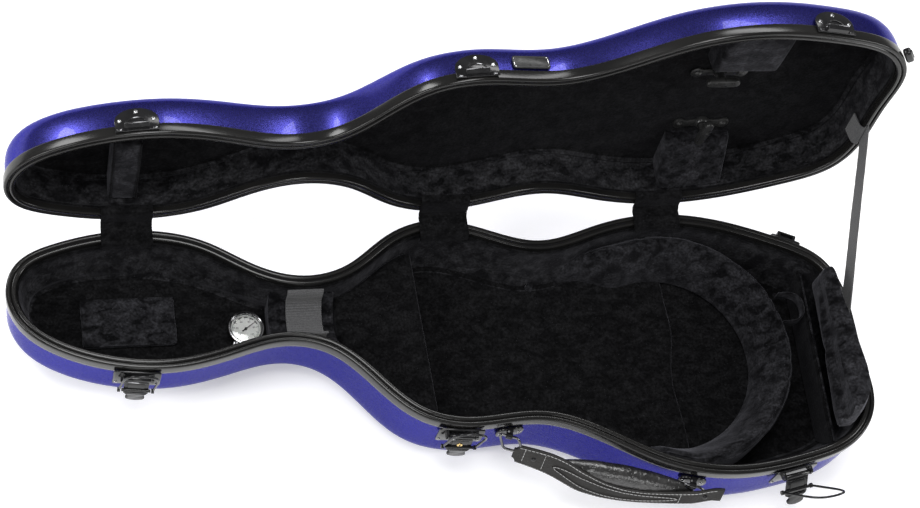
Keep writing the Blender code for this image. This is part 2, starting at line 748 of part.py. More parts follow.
def add_bail(number, turn_deg, lean, lever_axis):
    """Wire bail on the lever: a U whose crossbar hooks over the lid's catch."""
    turn = Matrix.Rotation(math.radians(-turn_deg), 4, "X")
    axis = add_empty(f"latch_{number}_bail_axis", Matrix.Translation(BAIL_PIVOT) @ turn, lever_axis)
    side = 14.9 * MM
    corner = 5 * MM
    top = BAIL_LENGTH
    shape = [(-side, 0), (-side, top - corner), (-side + 1.4 * MM, top - 1.4 * MM), (-side + corner, top)]
    path = [(x + lean * z / top, 0, z) for x, z in shape]
    path += [(-x + lean * z / top, 0, z) for x, z in reversed(shape)]
    add_object(f"latch_{number}_bail", tube(path, 1.1 * MM), "black_metal", parent=axis)


def add_catch(number, x, lid):
    """Catch plate on the lid's front wall, with a hooked lip for the bail."""
    place = add_empty(f"catch_{number}_place", wall_frame(x, -1), lid)
    plate = bevelled(box((-19 * MM, 0.5 * MM, 3 * MM), (19 * MM, 2.3 * MM, 26 * MM)), 0.5 * MM, 1)
    boss = box((-13 * MM, -0.9 * MM, BAND_LID + 0.6 * MM), (13 * MM, 1.5 * MM, 22 * MM))
    hook = ((1.5, 3.2), (6.5, 3.2), (7.2, 7.5), (6.2, 8.2), (5.4, 5.2), (1.5, 5.2))
    lip = prism([(y * MM, z * MM) for y, z in hook], -11 * MM, 11 * MM)
    lip.transform(Matrix(((0, 0, 1, 0), (1, 0, 0, 0), (0, 1, 0, 0), (0, 0, 0, 1))))
    union(f"catch_{number}", [plate, boss, lip], "black_metal", parent=place)


def add_nameplate(lid):
    place = add_empty("nameplate_place", wall_frame(49, -1), lid)
    plate = bevelled(box((-17 * MM, -0.6 * MM, 13 * MM), (17 * MM, 1.0 * MM, 26 * MM)), 0.4 * MM, 1)
    add_object("nameplate", plate, "black_plastic", parent=place)


def add_handle(base):
    """Leather grip on two wire loops; the loops turn in brackets on the front wall."""
    ends = [wall_frame(x, -1).translation for x in HANDLE_X]
    along = (ends[1] - ends[0]).normalized()
    out = Vector((along.y, -along.x, 0))
    place = Matrix((along, out, Vector((0, 0, 1)))).transposed().to_4x4()
    middle = (ends[0] + ends[1]) / 2
    axis_place = Matrix.Translation(middle + out * HANDLE_OUT - Vector((0, 0, HANDLE_DOWN))) @ place
    span = (ends[1] - ends[0]).length / 2
    hanging = Matrix.Rotation(math.radians(-HANDLE_DROP_DEG), 4, "X")
    swing = add_empty("handle_axis", axis_place @ hanging, base)
    bars = []
    for name, side, x, reach, slide in zip("ab", (-1, 1), HANDLE_X, LOOP_REACH, LOOP_SLIDE):
        add_handle_bracket(name, x, axis_place, side * span, base)
        loop = tube(loop_path(side * span, 9 * MM, reach, slide), 1.5 * MM, closed=True)
        add_object(f"handle_loop_{name}", loop, "steel", parent=swing)
        bars.append(Vector((side * span + slide, reach, 0)))
    add_grip(bars, swing)


def loop_path(x, half, reach, slide):
    """Rounded rectangle of wire whose outer bar has slipped along by slide."""
    r = 3 * MM
    corners = ((-half, 0), (half, 0), (half, reach), (-half, reach))
    path = []
    for k, (a, b) in enumerate(corners):
        for t in (0.0, 0.5, 1.0):
            angle = math.radians(-135 + 90 * k - 45 + 90 * t)
            across = a - math.copysign(r, a) + r * math.cos(angle)
            y = b + (r if b == 0 else -r) + r * math.sin(angle)
            path.append((x + across + slide * y / reach, y, 0))
    return path


def add_handle_bracket(name, x, axis_place, along, base):
    """Lug on the front wall whose sleeve carries the loop's inner bar."""
    wall = wall_frame(x, -1)
    to_axis = axis_place.inverted() @ wall
    foot = to_axis.translation.y
    sleeve = rod((along - 3 * MM, 0, 0), (along + 3 * MM, 0, 0), 3.0 * MM, 14)
    arm = box((along - 2.8 * MM, foot, -2.6 * MM), (along + 2.8 * MM, -1.5 * MM, 2.6 * MM))
    pad = bevelled(box((-13 * MM, -0.8 * MM, -34 * MM), (13 * MM, 1.6 * MM, -16 * MM)), 0.5 * MM, 1)
    pad.transform(to_axis)
    obj = union(f"handle_bracket_{name}", [arm, sleeve, pad], "black_metal", axis_place, base)
    bore = rod((along - 9 * MM, 0, 0), (along + 9 * MM, 0, 0), 1.9 * MM, 12)
    tool = cutter_in(bore, f"handle_bracket_{name}_bore", base)
    tool.matrix_local = axis_place
    boolean(obj, tool, "DIFFERENCE")


def add_grip(bars, swing):
    """Leather grip between the loops' outer bars: flat ends and a padded middle that sags outwards."""
    made = bmesh.new()
    rings = []
    stations = ((0, 11, 2.2), (0.16, 12, 2.4), (0.24, 13.5, 5.0), (0.34, 16, 8.5), (0.5, 17, 10.0),
                (0.66, 16, 8.5), (0.78, 13.5, 5.0), (0.86, 12, 2.4), (1, 11, 2.2))
    past = Vector((9 * MM, 0, 0))
    first = bars[0] - past + Vector((0, 6 * MM, 0))
    last = bars[1] + past + Vector((4 * MM, 2 * MM, 0))
    for share, half_width, half_height in stations:
        middle = first.lerp(last, share)
        middle.y += GRIP_SAG * 4 * share * (1 - share)
        ring = []
        for t in [math.tau * k / 12 for k in range(12)]:
            offset = Vector((0, half_width * MM * math.cos(t), half_height * MM * math.sin(t)))
            ring.append(made.verts.new(middle + offset))
        rings.append(ring)
    for ring, following in zip(rings, rings[1:]):
        join_rings(made, ring, following)
    made.faces.new(rings[0])
    made.faces.new(rings[-1])
    obj = add_object("handle_grip", made, "leather", parent=swing)
    for k, bar in enumerate(bars):
        low = (bar.x - 17 * MM, -12 * MM, -1.9 * MM)
        high = (bar.x + 13 * MM, bar.y + 1.9 * MM, 1.9 * MM)
        boolean(obj, cutter_in(box(low, high), f"handle_grip_slot_{k}", swing), "DIFFERENCE")


def add_rear_bracket(base):
    """Shoulder-strap bracket on the back wall near the wide end: a plate and a bridge with a slot."""
    frame = wall_frame(340, 1)
    plate = bevelled(box((-15 * MM, 0.5 * MM, -22 * MM), (15 * MM, 2.6 * MM, -2 * MM)), 0.6 * MM, 1)
    bridge = bevelled(box((-9 * MM, 2.0 * MM, -14 * MM), (9 * MM, 8 * MM, -3 * MM)), 1.0 * MM, 1)
    obj = union("rear_strap_bracket", [plate, bridge], "black_metal", frame, base)
    gap = box((-6 * MM, 3.2 * MM, -20 * MM), (6 * MM, 6.2 * MM, 4 * MM))
    slot = cutter_in(gap, "rear_strap_slot", base)
    slot.matrix_local = frame
    boolean(obj, slot, "DIFFERENCE")


# ---------------------------------------------------------------- lid interior

def add_tip_pocket(lid):
    """Pocket for the bow tips across the scroll end of the lid, open towards the bows."""
    low = (-303 * MM, 36 * MM, 14 * MM)
    high = (-277 * MM, 150 * MM, 60 * MM)
    obj = in_room("bow_tip_pocket", box(low, high), "velvet", "lid", 1, lid)
    mouth = box((-299 * MM, 50 * MM, 17 * MM), (-270 * MM, 112 * MM, 34 * MM))
    boolean(obj, cutter_in(mouth, "bow_tip_pocket_mouth", lid), "DIFFERENCE")


def add_frog_blocks(lid):
    """Wedge pads that carry the bow frogs, one by the hinge side and one by the front."""
    lower = ((74, 60), (75, 32), (80, 28), (121, 11), (131, 11), (150, 60))
    upper = ((-150, 60), (-150, 14), (-104, 14), (-50, 20), (-44, 24), (-42, 60))
    blocks = (("frog_block_lower", lower, 214, 276), ("frog_block_upper", upper, 222, 284))
    for name, outline, x0, x1 in blocks:
        made = prism([(y * MM, z * MM) for y, z in outline], x0 * MM, x1 * MM)
        made.transform(Matrix(((0, 0, 1, 0), (1, 0, 0, 0), (0, 1, 0, 0), (0, 0, 0, 1))))
        in_room(name, made, "velvet", "lid", 1, lid)


def add_spinner(name, x, y, turn_deg, lid):
    """Bow holder: a plate with two screwed lobes, and a turn bar on a post."""
    floor = float(lid_floor(np.array([x * MM]))[0]) - 0.3 * MM
    place = add_empty(f"{name}_place", Matrix.Translation((x * MM, y * MM, floor)), lid)
    hub = rod((0, 0, 0), (0, 0, -5 * MM), 6.5 * MM, 14)
    lobes = [rod((s, 2 * MM, 0), (s, 2 * MM, -2.4 * MM), 6.5 * MM, 14) for s in (-21 * MM, 21 * MM)]
    arm = box((-21 * MM, -3.6 * MM, -2.1 * MM), (21 * MM, 5.0 * MM, -0.1 * MM))
    union(f"{name}_plate", [arm, hub, *lobes], "black_plastic", parent=place)
    spin = add_empty(f"{name}_axis", Matrix.Rotation(math.radians(turn_deg), 4, "Z"), place)
    post = rod((0, 0, -5.4 * MM), (0, 0, -13 * MM), 3.6 * MM, 12)
    bar = bevelled(box((-16 * MM, -4.5 * MM, -17.5 * MM), (16 * MM, 4.5 * MM, -12 * MM)), 1.4 * MM, 1)
    union(f"{name}_bar", [bar, post], "black_plastic", parent=spin)


def add_lid_end_tab(lid):
    """Small tab on the front corner of the lid's wide end, where a shoulder strap clips."""
    made = bevelled(box((-8 * MM, 0.4 * MM, 3 * MM), (8 * MM, 8 * MM, 11 * MM)), 1 * MM, 1)
    add_object("lid_end_tab", made, "black_metal", wall_frame(388, -1), lid)


# ---------------------------------------------------------------- assembly

def build_base(base):
    add_shell("base", -1, base)
    add_rim("base", -1, BAND, base)
    add_lining("base", -1, base)
    add_body_floor_pad(base)
    add_neck_platform(base)
    add_neck_cradle(base)
    add_neck_strap(base)
    add_scroll_pocket(base)
    add_tail_cushion(base)
    add_divider(base)
    add_pull_loop(base)
    add_hygrometer(base)
    add_accessory_flap(base)
    add_stay_strap(base)
    add_rear_bracket(base)
    add_handle(base)


def build_lid(lid):
    add_shell("lid", 1, lid)
    add_rim("lid", 1, BAND_LID, lid)
    add_lining("lid", 1, lid)
    add_tip_pocket(lid)
    add_frog_blocks(lid)
    add_spinner("spinner_upper", 240, -20, 0, lid)
    add_spinner("spinner_lower", 245, 59, 98, lid)
    add_nameplate(lid)
    add_lid_end_tab(lid)


def main():
    clear_scene()
    base = add_empty("base_frame", Matrix.Translation((0, 0, RIM_Z)))
    pivot = Matrix.Translation((0, HINGE_Y, 0))
    opened = pivot @ Matrix.Rotation(math.radians(-LID_OPEN_DEG), 4, "X") @ pivot.inverted()
    lid = add_empty("lid_frame", opened, base)
    build_base(base)
    build_lid(lid)
    for number, x in enumerate(HINGE_X, start=1):
        add_hinge(number, x, base, lid)
        add_hinge_cover(number, x, base)
    rests = zip(LATCH_X, LATCH_LEVER_DEG, LATCH_BAIL_DEG, LATCH_BAIL_LEAN)
    for number, (x, lever_deg, bail_deg, lean) in enumerate(rests, start=1):
        add_latch(number, x, lever_deg, bail_deg, lean, base)
        add_catch(number, x, lid)


main()
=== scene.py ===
"""Looks of the shaped violin case: glossy flake-painted shells, moulded black rims, a padded velvet
interior, webbing, leather and plated hardware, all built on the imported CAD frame. Metres, +Z up."""

import math

import bmesh
import bpy
import numpy as np
from mathutils import Matrix, Vector, noise


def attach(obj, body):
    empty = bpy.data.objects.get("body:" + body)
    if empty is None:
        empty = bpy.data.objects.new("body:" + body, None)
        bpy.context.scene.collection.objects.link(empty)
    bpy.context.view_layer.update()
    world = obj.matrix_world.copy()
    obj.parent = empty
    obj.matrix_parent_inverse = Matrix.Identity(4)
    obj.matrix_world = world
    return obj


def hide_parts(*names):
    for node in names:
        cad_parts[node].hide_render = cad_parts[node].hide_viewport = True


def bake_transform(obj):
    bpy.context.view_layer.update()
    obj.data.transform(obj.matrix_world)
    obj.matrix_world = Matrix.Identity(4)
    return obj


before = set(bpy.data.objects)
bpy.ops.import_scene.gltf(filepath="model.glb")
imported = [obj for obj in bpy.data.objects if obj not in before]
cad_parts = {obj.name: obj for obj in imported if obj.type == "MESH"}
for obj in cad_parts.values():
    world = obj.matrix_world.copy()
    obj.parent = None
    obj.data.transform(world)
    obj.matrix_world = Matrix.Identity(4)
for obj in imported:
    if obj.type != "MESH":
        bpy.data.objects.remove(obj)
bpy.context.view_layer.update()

MM = 0.001

# ---------------------------------------------------------------- the case's driving sizes

RIM_Z = 92 * MM
LID_OPEN_DEG = 98.0
HINGE_Y = 142.8 * MM
BASE_DEPTHS = (70 * MM, 92 * MM)  # scroll end, body
LID_DEPTHS = (50 * MM, 55 * MM)
BASE_FLOORS = (52 * MM, 64 * MM)
LID_FLOORS = (38 * MM, 42 * MM)
SHELL_INSET = 1.8 * MM
SHELL_WALL = 2.5 * MM
LINING_GAP = 0.6 * MM
RIM_INNER = 9.5 * MM
RIM_SEAT = 6.6 * MM
BAND = {"base": 14 * MM, "lid": 11 * MM}
SIGN = {"base": -1, "lid": 1}
LOOP_POINTS = 360  # points round each shell, rim and lining

# Rim outline seen from above, in millimetres: scroll tip, front side, wide end, back side.
OUTLINE = (
    (-396, 84), (-386, 50), (-350, 22), (-300, 6), (-250, 3), (-200, 13), (-155, 23), (-115, 15),
    (-75, -21), (-40, -53), (5, -66), (75, -64), (125, -82), (180, -111), (250, -126), (320, -118),
    (374, -97), (395, -66), (394, -15), (389, 52), (375, 83), (330, 110), (270, 130), (212, 137),
    (150, 127), (95, 114), (40, 129), (-5, 138), (-50, 124), (-90, 96), (-130, 87), (-175, 100),
    (-215, 123), (-290, 137), (-350, 127), (-387, 107),
)
SPINE = np.array(((-335, 75), (300, -3))) * MM

BASE = Matrix.Translation((0, 0, RIM_Z))
LID = (
    BASE
    @ Matrix.Translation((0, HINGE_Y, 0))
    @ Matrix.Rotation(math.radians(-LID_OPEN_DEG), 4, "X")
    @ Matrix.Translation((0, -HINGE_Y, 0))
)
PLACE = {"base": BASE, "lid": LID}


# ---------------------------------------------------------------- outline and section functions

def smoothstep(low, high, x):
    t = np.clip((x - low) / (high - low), 0.0, 1.0)
    return t * t * (3 - 2 * t)


def spline_loop(points, per_span=24):
    """A smooth closed curve through the points: a periodic cubic spline over chord length."""
    points = np.array(points, float)
    count = len(points)
    step = np.linalg.norm(np.roll(points, -1, axis=0) - points, axis=1)
    before = np.roll(step, 1)
    matrix = np.zeros((count, count))
    for k in range(count):
        matrix[k, k] = 2 * (before[k] + step[k])
        matrix[k, (k - 1) % count] = step[k]
        matrix[k, (k + 1) % count] = before[k]
    rise = (np.roll(points, -1, axis=0) - points) / step[:, None]
    slope = np.linalg.solve(matrix, 3 * (rise * before[:, None] + np.roll(rise, 1, axis=0) * step[:, None]))
    curve = []
    for k in range(count):
        after = (k + 1) % count
        for t in np.arange(per_span) / per_span:
            first = (1 + 2 * t) * (1 - t) ** 2 * points[k] + t * t * (3 - 2 * t) * points[after]
            second = t * (1 - t) ** 2 * slope[k] - t * t * (1 - t) * slope[after]
            curve.append(first + second * step[k])
    return np.array(curve)


CURVE = spline_loop(OUTLINE) * MM


def resampled(curve, count):
    """The closed curve at evenly spaced points."""
    closed = np.vstack([curve, curve[:1]])
    travel = np.concatenate([[0], np.cumsum(np.linalg.norm(np.diff(closed, axis=0), axis=1))])
    places = np.linspace(0, travel[-1], count, endpoint=False)
    return np.stack([np.interp(places, travel, closed[:, axis]) for axis in range(closed.shape[1])], axis=1)


def normals_of(points):
    """Outward normals of a closed outline that runs anticlockwise."""
    along = np.roll(points, -1, axis=0) - np.roll(points, 1, axis=0)
    along /= np.linalg.norm(along, axis=1)[:, None]
    return np.stack([along[:, 1], -along[:, 0]], axis=1)


EDGE = resampled(CURVE, LOOP_POINTS)
NORMAL = normals_of(EDGE)


def spine_feet(points):
    """For each outline point, the nearest point of the centre line."""
    along = SPINE[1] - SPINE[0]
    t = np.clip((points - SPINE[0]) @ along / (along @ along), 0.0, 1.0)
    return SPINE[0] + t[:, None] * along


def inset(distance):
    return EDGE - NORMAL * distance


def drawn_in(distance):
    """The rim's inner edge drawn in towards the centre line until it is about distance inside."""
    start = inset(RIM_INNER)
    feet = spine_feet(start)
    reach = np.linalg.norm(start - feet, axis=1)
    share = np.minimum((distance - RIM_INNER) / reach, 0.22)
    return start + (feet - start) * share[:, None]


def depth_of(half, x):
    if half == "base":
        return BASE_DEPTHS[0] + (BASE_DEPTHS[1] - BASE_DEPTHS[0]) * smoothstep(-0.15, -0.04, x)
    return LID_DEPTHS[0] + (LID_DEPTHS[1] - LID_DEPTHS[0]) * smoothstep(0.04, 0.18, x)


def floor_of(half, x):
    if half == "base":
        return BASE_FLOORS[0] + (BASE_FLOORS[1] - BASE_FLOORS[0]) * smoothstep(-0.19, -0.06, x)
    return LID_FLOORS[0] + (LID_FLOORS[1] - LID_FLOORS[0]) * smoothstep(0.04, 0.18, x)


SQUARENESS = {"base": 9.0, "lid": 5.0}
CAP = {"base": 0.72, "lid": 0.5}


def room_ring(half, depth_share):
    """One ring of the velvet room: depth_share runs from 0 at the rim to 1 at the floor."""
    if half == "base":
        stations = ((0.0, 9.5), (0.33, 12.0), (0.66, 17.0), (1.0, 26.0))
    else:
        stations = ((0.0, 9.5), (0.5, 11.0), (1.0, 16.0))
    shares, distances = zip(*stations)
    points = drawn_in(np.interp(depth_share, shares, distances) * MM)
    top = RIM_SEAT + LINING_GAP
    floor = floor_of(half, points[:, 0])
    return points, top + (floor - top) * depth_share


def room_span(half, depth_share, x):
    """(front y, back y) of the room's walls at one x and one depth share."""
    points, _ = room_ring(half, depth_share)
    past = points[:, 1] - spine_feet(points)[:, 1]
    found = []
    for side in (-1, 1):
        chosen = points[past * side > 0]
        order = np.argsort(chosen[:, 0])
        found.append(float(np.interp(x, chosen[order, 0], chosen[order, 1])))
    return found


def wall_frame(x, side):
    """Matrix at the rim's outer edge, front (-1) or back (+1): X along the wall, Y outwards, Z up."""
    ahead = np.roll(CURVE, -1, axis=0) - CURVE
    past = (CURVE[:, 1] - spine_feet(CURVE)[:, 1]) * side
    chosen = [k for k in range(len(CURVE)) if past[k] > 0]
    nearest = min(chosen, key=lambda k: abs(CURVE[k][0] - x * MM))
    along = Vector((*ahead[nearest], 0)).normalized()
    out = Vector((along.y, -along.x, 0))
    place = Matrix((along, out, Vector((0, 0, 1)))).transposed().to_4x4()
    return Matrix.Translation((*CURVE[nearest], 0)) @ place


def lid_point(y, z):
    """Where a point of the closed lid, at (y, z) from the rim plane, stands when the lid is open."""
    turn = math.radians(LID_OPEN_DEG)
    dy = y - HINGE_Y
    return (HINGE_Y + dy * math.cos(turn) + z * math.sin(turn), -dy * math.sin(turn) + z * math.cos(turn))


# ---------------------------------------------------------------- materials

class Finish:
    """A Principled material under construction, with helpers that add procedural detail."""

    def __init__(self, name, colour, roughness, **sockets):
        self.material = bpy.data.materials.new(name)
        self.material.use_nodes = True
        self.tree = self.material.node_tree
        self.shader = self.tree.nodes["Principled BSDF"]
        self.shader.inputs["Base Color"].default_value = (*colour, 1.0)
        self.shader.inputs["Roughness"].default_value = roughness
        for socket, value in sockets.items():
            self.shader.inputs[socket.replace("_", " ")].default_value = value
        self.coordinates = self.add("ShaderNodeTexCoord").outputs["Object"]
        self.height = None

    def add(self, kind, **settings):
        node = self.tree.nodes.new(kind)
        for key, value in settings.items():
            setattr(node, key, value)
        return node

    def link(self, output, target):
        self.tree.links.new(output, target)

    def noise(self, scale, detail=4.0, stretch=None, distortion=0.0):
        node = self.add("ShaderNodeTexNoise")
        node.inputs["Scale"].default_value = scale
        node.inputs["Detail"].default_value = detail
        node.inputs["Distortion"].default_value = distortion
        self.link(self.placed(stretch), node.inputs["Vector"])
        return node.outputs["Fac"]

    def placed(self, stretch):
        if stretch is None:
            return self.coordinates
        mapping = self.add("ShaderNodeMapping")
        mapping.inputs["Scale"].default_value = stretch
        self.link(self.coordinates, mapping.inputs["Vector"])
        return mapping.outputs["Vector"]

    def cells(self, scale, feature="F1", output="Distance"):
        node = self.add("ShaderNodeTexVoronoi", feature=feature)
        node.inputs["Scale"].default_value = scale
        self.link(self.coordinates, node.inputs["Vector"])
        return node.outputs[output]

    def ramp(self, source, stops):
        """A colour ramp; stops are (position, colour)."""
        node = self.add("ShaderNodeValToRGB")
        elements = node.color_ramp.elements
        while len(elements) < len(stops):
            elements.new(0.5)
        for element, (position, colour) in zip(elements, stops):
            element.position = position
            element.color = (*colour, 1.0)
        self.link(source, node.inputs["Fac"])
        return node.outputs["Color"]

    def remap(self, source, low, high, to_low, to_high):
        node = self.add("ShaderNodeMapRange")
        for key, value in (("From Min", low), ("From Max", high), ("To Min", to_low), ("To Max", to_high)):
            node.inputs[key].default_value = value
        self.link(source, node.inputs["Value"])
        return node.outputs["Result"]

    def blend(self, factor, first, second, mode="MIX"):
        node = self.add("ShaderNodeMix", data_type="RGBA", blend_type=mode)
        for key, value in (("Factor", factor), ("A", first), ("B", second)):
            socket = next(s for s in node.inputs if s.name == key and (key == "Factor" or s.type == "RGBA"))
            if isinstance(value, bpy.types.NodeSocket):
                self.link(value, socket)
            elif key == "Factor":
                socket.default_value = value
            else:
                socket.default_value = (*value, 1.0)
        return next(s for s in node.outputs if s.type == "RGBA")

    def colour(self, output):
        self.link(output, self.shader.inputs["Base Color"])

    def roughness(self, output):
        self.link(output, self.shader.inputs["Roughness"])

    def bump(self, source, strength, distance):
        node = self.add("ShaderNodeBump")
        node.inputs["Strength"].default_value = strength
        node.inputs["Distance"].default_value = distance
        self.link(source, node.inputs["Height"])
        if self.height is not None:
            self.link(self.height, node.inputs["Normal"])
        self.height = node.outputs["Normal"]
        self.link(self.height, self.shader.inputs["Normal"])


def flake_paint():
    made = Finish(
        "flake_paint", (0.03, 0.028, 0.19), 0.3, Metallic=0.92,
        Coat_Weight=0.28, Coat_Roughness=0.03, Coat_IOR=1.4,
    )
    made.shader.inputs["Specular Tint"].default_value = (0.20, 0.19, 0.62, 1.0)
    flakes = made.cells(1400, output="Color")
    speck = made.add("ShaderNodeSeparateColor")
    made.link(flakes, speck.inputs["Color"])
    drift = made.noise(7, 3)
    base = made.ramp(drift, ((0.3, (0.021, 0.020, 0.145)), (0.7, (0.032, 0.030, 0.20))))
    lit = made.remap(speck.outputs["Red"], 0.0, 1.0, 0.0, 0.22)
    made.colour(made.blend(lit, base, (0.12, 0.12, 0.50)))
    made.roughness(made.remap(speck.outputs["Green"], 0.0, 1.0, 0.20, 0.34))
    made.bump(made.noise(28, 2), 0.03, 0.0008)
    return made.material


def rim_plastic():
    made = Finish("rim_plastic", (0.008, 0.0078, 0.0075), 0.2, Specular_IOR_Level=0.28)
    made.colour(made.ramp(made.noise(18, 4), ((0.3, (0.006, 0.006, 0.006)), (0.75, (0.011, 0.0105, 0.010)))))
    made.roughness(made.remap(made.noise(14, 2), 0.3, 0.7, 0.15, 0.22))
    return made.material


def velvet(name, dark, light, lint=0.5, sheen=0.2):
    """Short-pile velvet: pile brushed in patches, a few pale fibres, and sheen."""
    made = Finish(name, dark, 0.95, Sheen_Weight=sheen, Sheen_Roughness=0.42, Specular_IOR_Level=0.05)
    made.shader.inputs["Sheen Tint"].default_value = (0.30, 0.30, 0.34, 1.0)
    brushed = made.noise(75, 7, stretch=(1.0, 1.7, 1.0), distortion=0.6)
    pile = made.noise(420, 4)
    patch = made.ramp(brushed, ((0.38, dark), (0.68, light)))
    grain = made.ramp(pile, ((0.35, (0.35, 0.35, 0.35)), (0.75, (1.25, 1.25, 1.3))))
    cloth = made.blend(1.0, patch, grain, "MULTIPLY")
    fibres = made.cells(230)
    specks = made.remap(fibres, 0.04, 0.12, lint, 0.0)
    made.colour(made.blend(specks, cloth, (0.055, 0.055, 0.062)))
    made.bump(made.noise(55, 3), 0.22, 0.0016)
    made.bump(pile, 0.5, 0.0007)
    return made.material


def webbing_cloth(name, dark, light):
    made = Finish(name, dark, 0.8, Sheen_Weight=0.25, Sheen_Roughness=0.5, Specular_IOR_Level=0.25)
    thread = made.noise(900, 3)
    made.colour(made.ramp(thread, ((0.3, dark), (0.7, light))))
    made.bump(thread, 0.5, 0.0004)
    made.bump(made.noise(130, 3), 0.2, 0.0004)
    return made.material


def grained_leather():
    made = Finish("grained_leather", (0.010, 0.0095, 0.009), 0.5, Specular_IOR_Level=0.3)
    grain = made.cells(620, feature="SMOOTH_F1")
    made.colour(
        made.ramp(made.noise(45, 4), ((0.3, (0.008, 0.0075, 0.007)), (0.75, (0.018, 0.0165, 0.0155))))
    )
    made.roughness(made.remap(made.noise(90, 4), 0.3, 0.7, 0.42, 0.6))
    made.bump(made.noise(150, 3), 0.25, 0.0006)
    made.bump(grain, 0.55, 0.0007)
    return made.material


def pebbled_leather():
    made = Finish("pebbled_leather", (0.012, 0.012, 0.012), 0.3, Coat_Weight=0.3, Coat_Roughness=0.2)
    made.colour(made.ramp(made.noise(60, 3), ((0.3, (0.009, 0.009, 0.009)), (0.75, (0.022, 0.021, 0.021)))))
    made.roughness(made.remap(made.noise(110, 3), 0.3, 0.7, 0.22, 0.36))
    made.bump(made.cells(360, feature="SMOOTH_F1"), 0.7, 0.001)
    return made.material


def black_enamel():
    made = Finish("black_enamel", (0.009, 0.009, 0.0095), 0.14, Specular_IOR_Level=0.3)
    made.colour(made.ramp(made.noise(70, 4), ((0.3, (0.006, 0.006, 0.0065)), (0.75, (0.013, 0.013, 0.014)))))
    made.roughness(made.remap(made.noise(160, 4), 0.3, 0.7, 0.1, 0.2))
    made.bump(made.noise(300, 3), 0.06, 0.0003)
    return made.material


def bright_metal(name, colour, roughness):
    made = Finish(name, colour, roughness, Metallic=1.0)
    made.roughness(made.remap(made.noise(220, 4), 0.3, 0.7, roughness * 0.7, roughness * 1.5))
    dull = tuple(0.82 * c for c in colour)
    made.colour(made.ramp(made.noise(90, 4), ((0.3, dull), (0.7, colour))))
    made.bump(made.noise(500, 3), 0.04, 0.0002)
    return made.material


def moulded_plastic(name, dark, light, roughness):
    made = Finish(name, dark, roughness, Specular_IOR_Level=0.35)
    made.colour(made.ramp(made.noise(80, 4), ((0.3, dark), (0.7, light))))
    made.roughness(made.remap(made.noise(260, 3), 0.3, 0.7, roughness * 0.8, roughness * 1.3))
    made.bump(made.noise(700, 2), 0.08, 0.0002)
    return made.material


def clear_glass():
    made = Finish("clear_glass", (0.97, 0.98, 0.98), 0.02, Transmission_Weight=1.0, IOR=1.45)
    made.roughness(made.remap(made.noise(120, 3), 0.3, 0.7, 0.01, 0.05))
    return made.material


def printed_dial():
    made = Finish("printed_dial", (0.72, 0.72, 0.7), 0.6, Specular_IOR_Level=0.2)
    made.colour(made.ramp(made.noise(160, 3), ((0.3, (0.68, 0.68, 0.66)), (0.7, (0.76, 0.76, 0.74)))))
    return made.material


def floor_paper():
    made = Finish("floor_paper", (0.86, 0.86, 0.86), 0.75, Specular_IOR_Level=0.1)
    made.shader.inputs["Emission Color"].default_value = (1.0, 1.0, 1.0, 1.0)
    made.shader.inputs["Emission Strength"].default_value = 0.34
    made.colour(made.ramp(made.noise(1.5, 2), ((0.3, (0.85, 0.85, 0.85)), (0.7, (0.87, 0.87, 0.87)))))
    return made.material


PAINT = flake_paint()
RIM = rim_plastic()
VELVET = velvet("velvet_black", (0.0035, 0.0035, 0.0038), (0.010, 0.010, 0.0105), lint=0.3, sheen=0.12)
# A lighter copy of the black velvet for the lining's walls: painted sheen for walls seen at a slant
VELVET_WALL = velvet("velvet_wall", (0.0045, 0.0045, 0.005), (0.030, 0.030, 0.032), lint=0.7, sheen=0.32)
# A lighter copy of the black velvet, painted light: the pads, cushions and piping that catch the light
VELVET_LIT = velvet("velvet_painted_lit", (0.0035, 0.0035, 0.004), (0.030, 0.030, 0.033), lint=0.6, sheen=0.3)
# A paler copy again, a painted sheen highlight for the flap's near end
VELVET_PAINTED_SHEEN = velvet("velvet_painted_sheen", (0.03, 0.03, 0.033), (0.075, 0.075, 0.08), lint=0.6, sheen=0.4)
WEBBING = webbing_cloth("webbing_grey", (0.04, 0.04, 0.042), (0.085, 0.085, 0.088))
THREAD = webbing_cloth("stitch_thread", (0.22, 0.22, 0.22), (0.42, 0.42, 0.42))
LEATHER = grained_leather()
PEBBLED = pebbled_leather()
ENAMEL = black_enamel()
CHROME = bright_metal("chrome", (0.42, 0.42, 0.43), 0.16)
STEEL = bright_metal("dark_steel", (0.14, 0.14, 0.145), 0.13)
BRASS = bright_metal("brass", (0.72, 0.52, 0.22), 0.18)
PLASTIC = moulded_plastic("moulded_black", (0.010, 0.010, 0.010), (0.022, 0.022, 0.022), 0.3)
DIAL = printed_dial()
INK = moulded_plastic("dial_ink", (0.012, 0.012, 0.012), (0.03, 0.03, 0.03), 0.6)
GLASS = clear_glass()


# ---------------------------------------------------------------- mesh helpers

def object_from(name, made, material, place=None, smooth_deg=38):
    """An object in the row's frame from a bmesh in the frame that place gives."""
    bmesh.ops.recalc_face_normals(made, faces=made.faces)
    if place is not None:
        made.transform(place)
    mesh = bpy.data.meshes.new(name)
    made.to_mesh(mesh)
    made.free()
    mesh.shade_smooth()
    mesh.set_sharp_from_angle(angle=math.radians(smooth_deg))
    obj = bpy.data.objects.new(name, mesh)
    bpy.context.scene.collection.objects.link(obj)
    mesh.materials.append(material)
    return obj


def piece(name, made, material, body, place=None, replaces=(), smooth_deg=38):
    obj = object_from(name, made, material, place, smooth_deg)
    return settled(obj, body, replaces)


def settled(obj, body, replaces=()):
    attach(obj, body)
    if replaces:
        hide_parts(*replaces)
    return obj


def joined(*parts):
    """Several bmeshes in one."""
    made = bmesh.new()
    for part in parts:
        mesh = bpy.data.meshes.new("part")
        bmesh.ops.recalc_face_normals(part, faces=part.faces)
        part.to_mesh(mesh)
        part.free()
        made.from_mesh(mesh)
        bpy.data.meshes.remove(mesh)
    return made


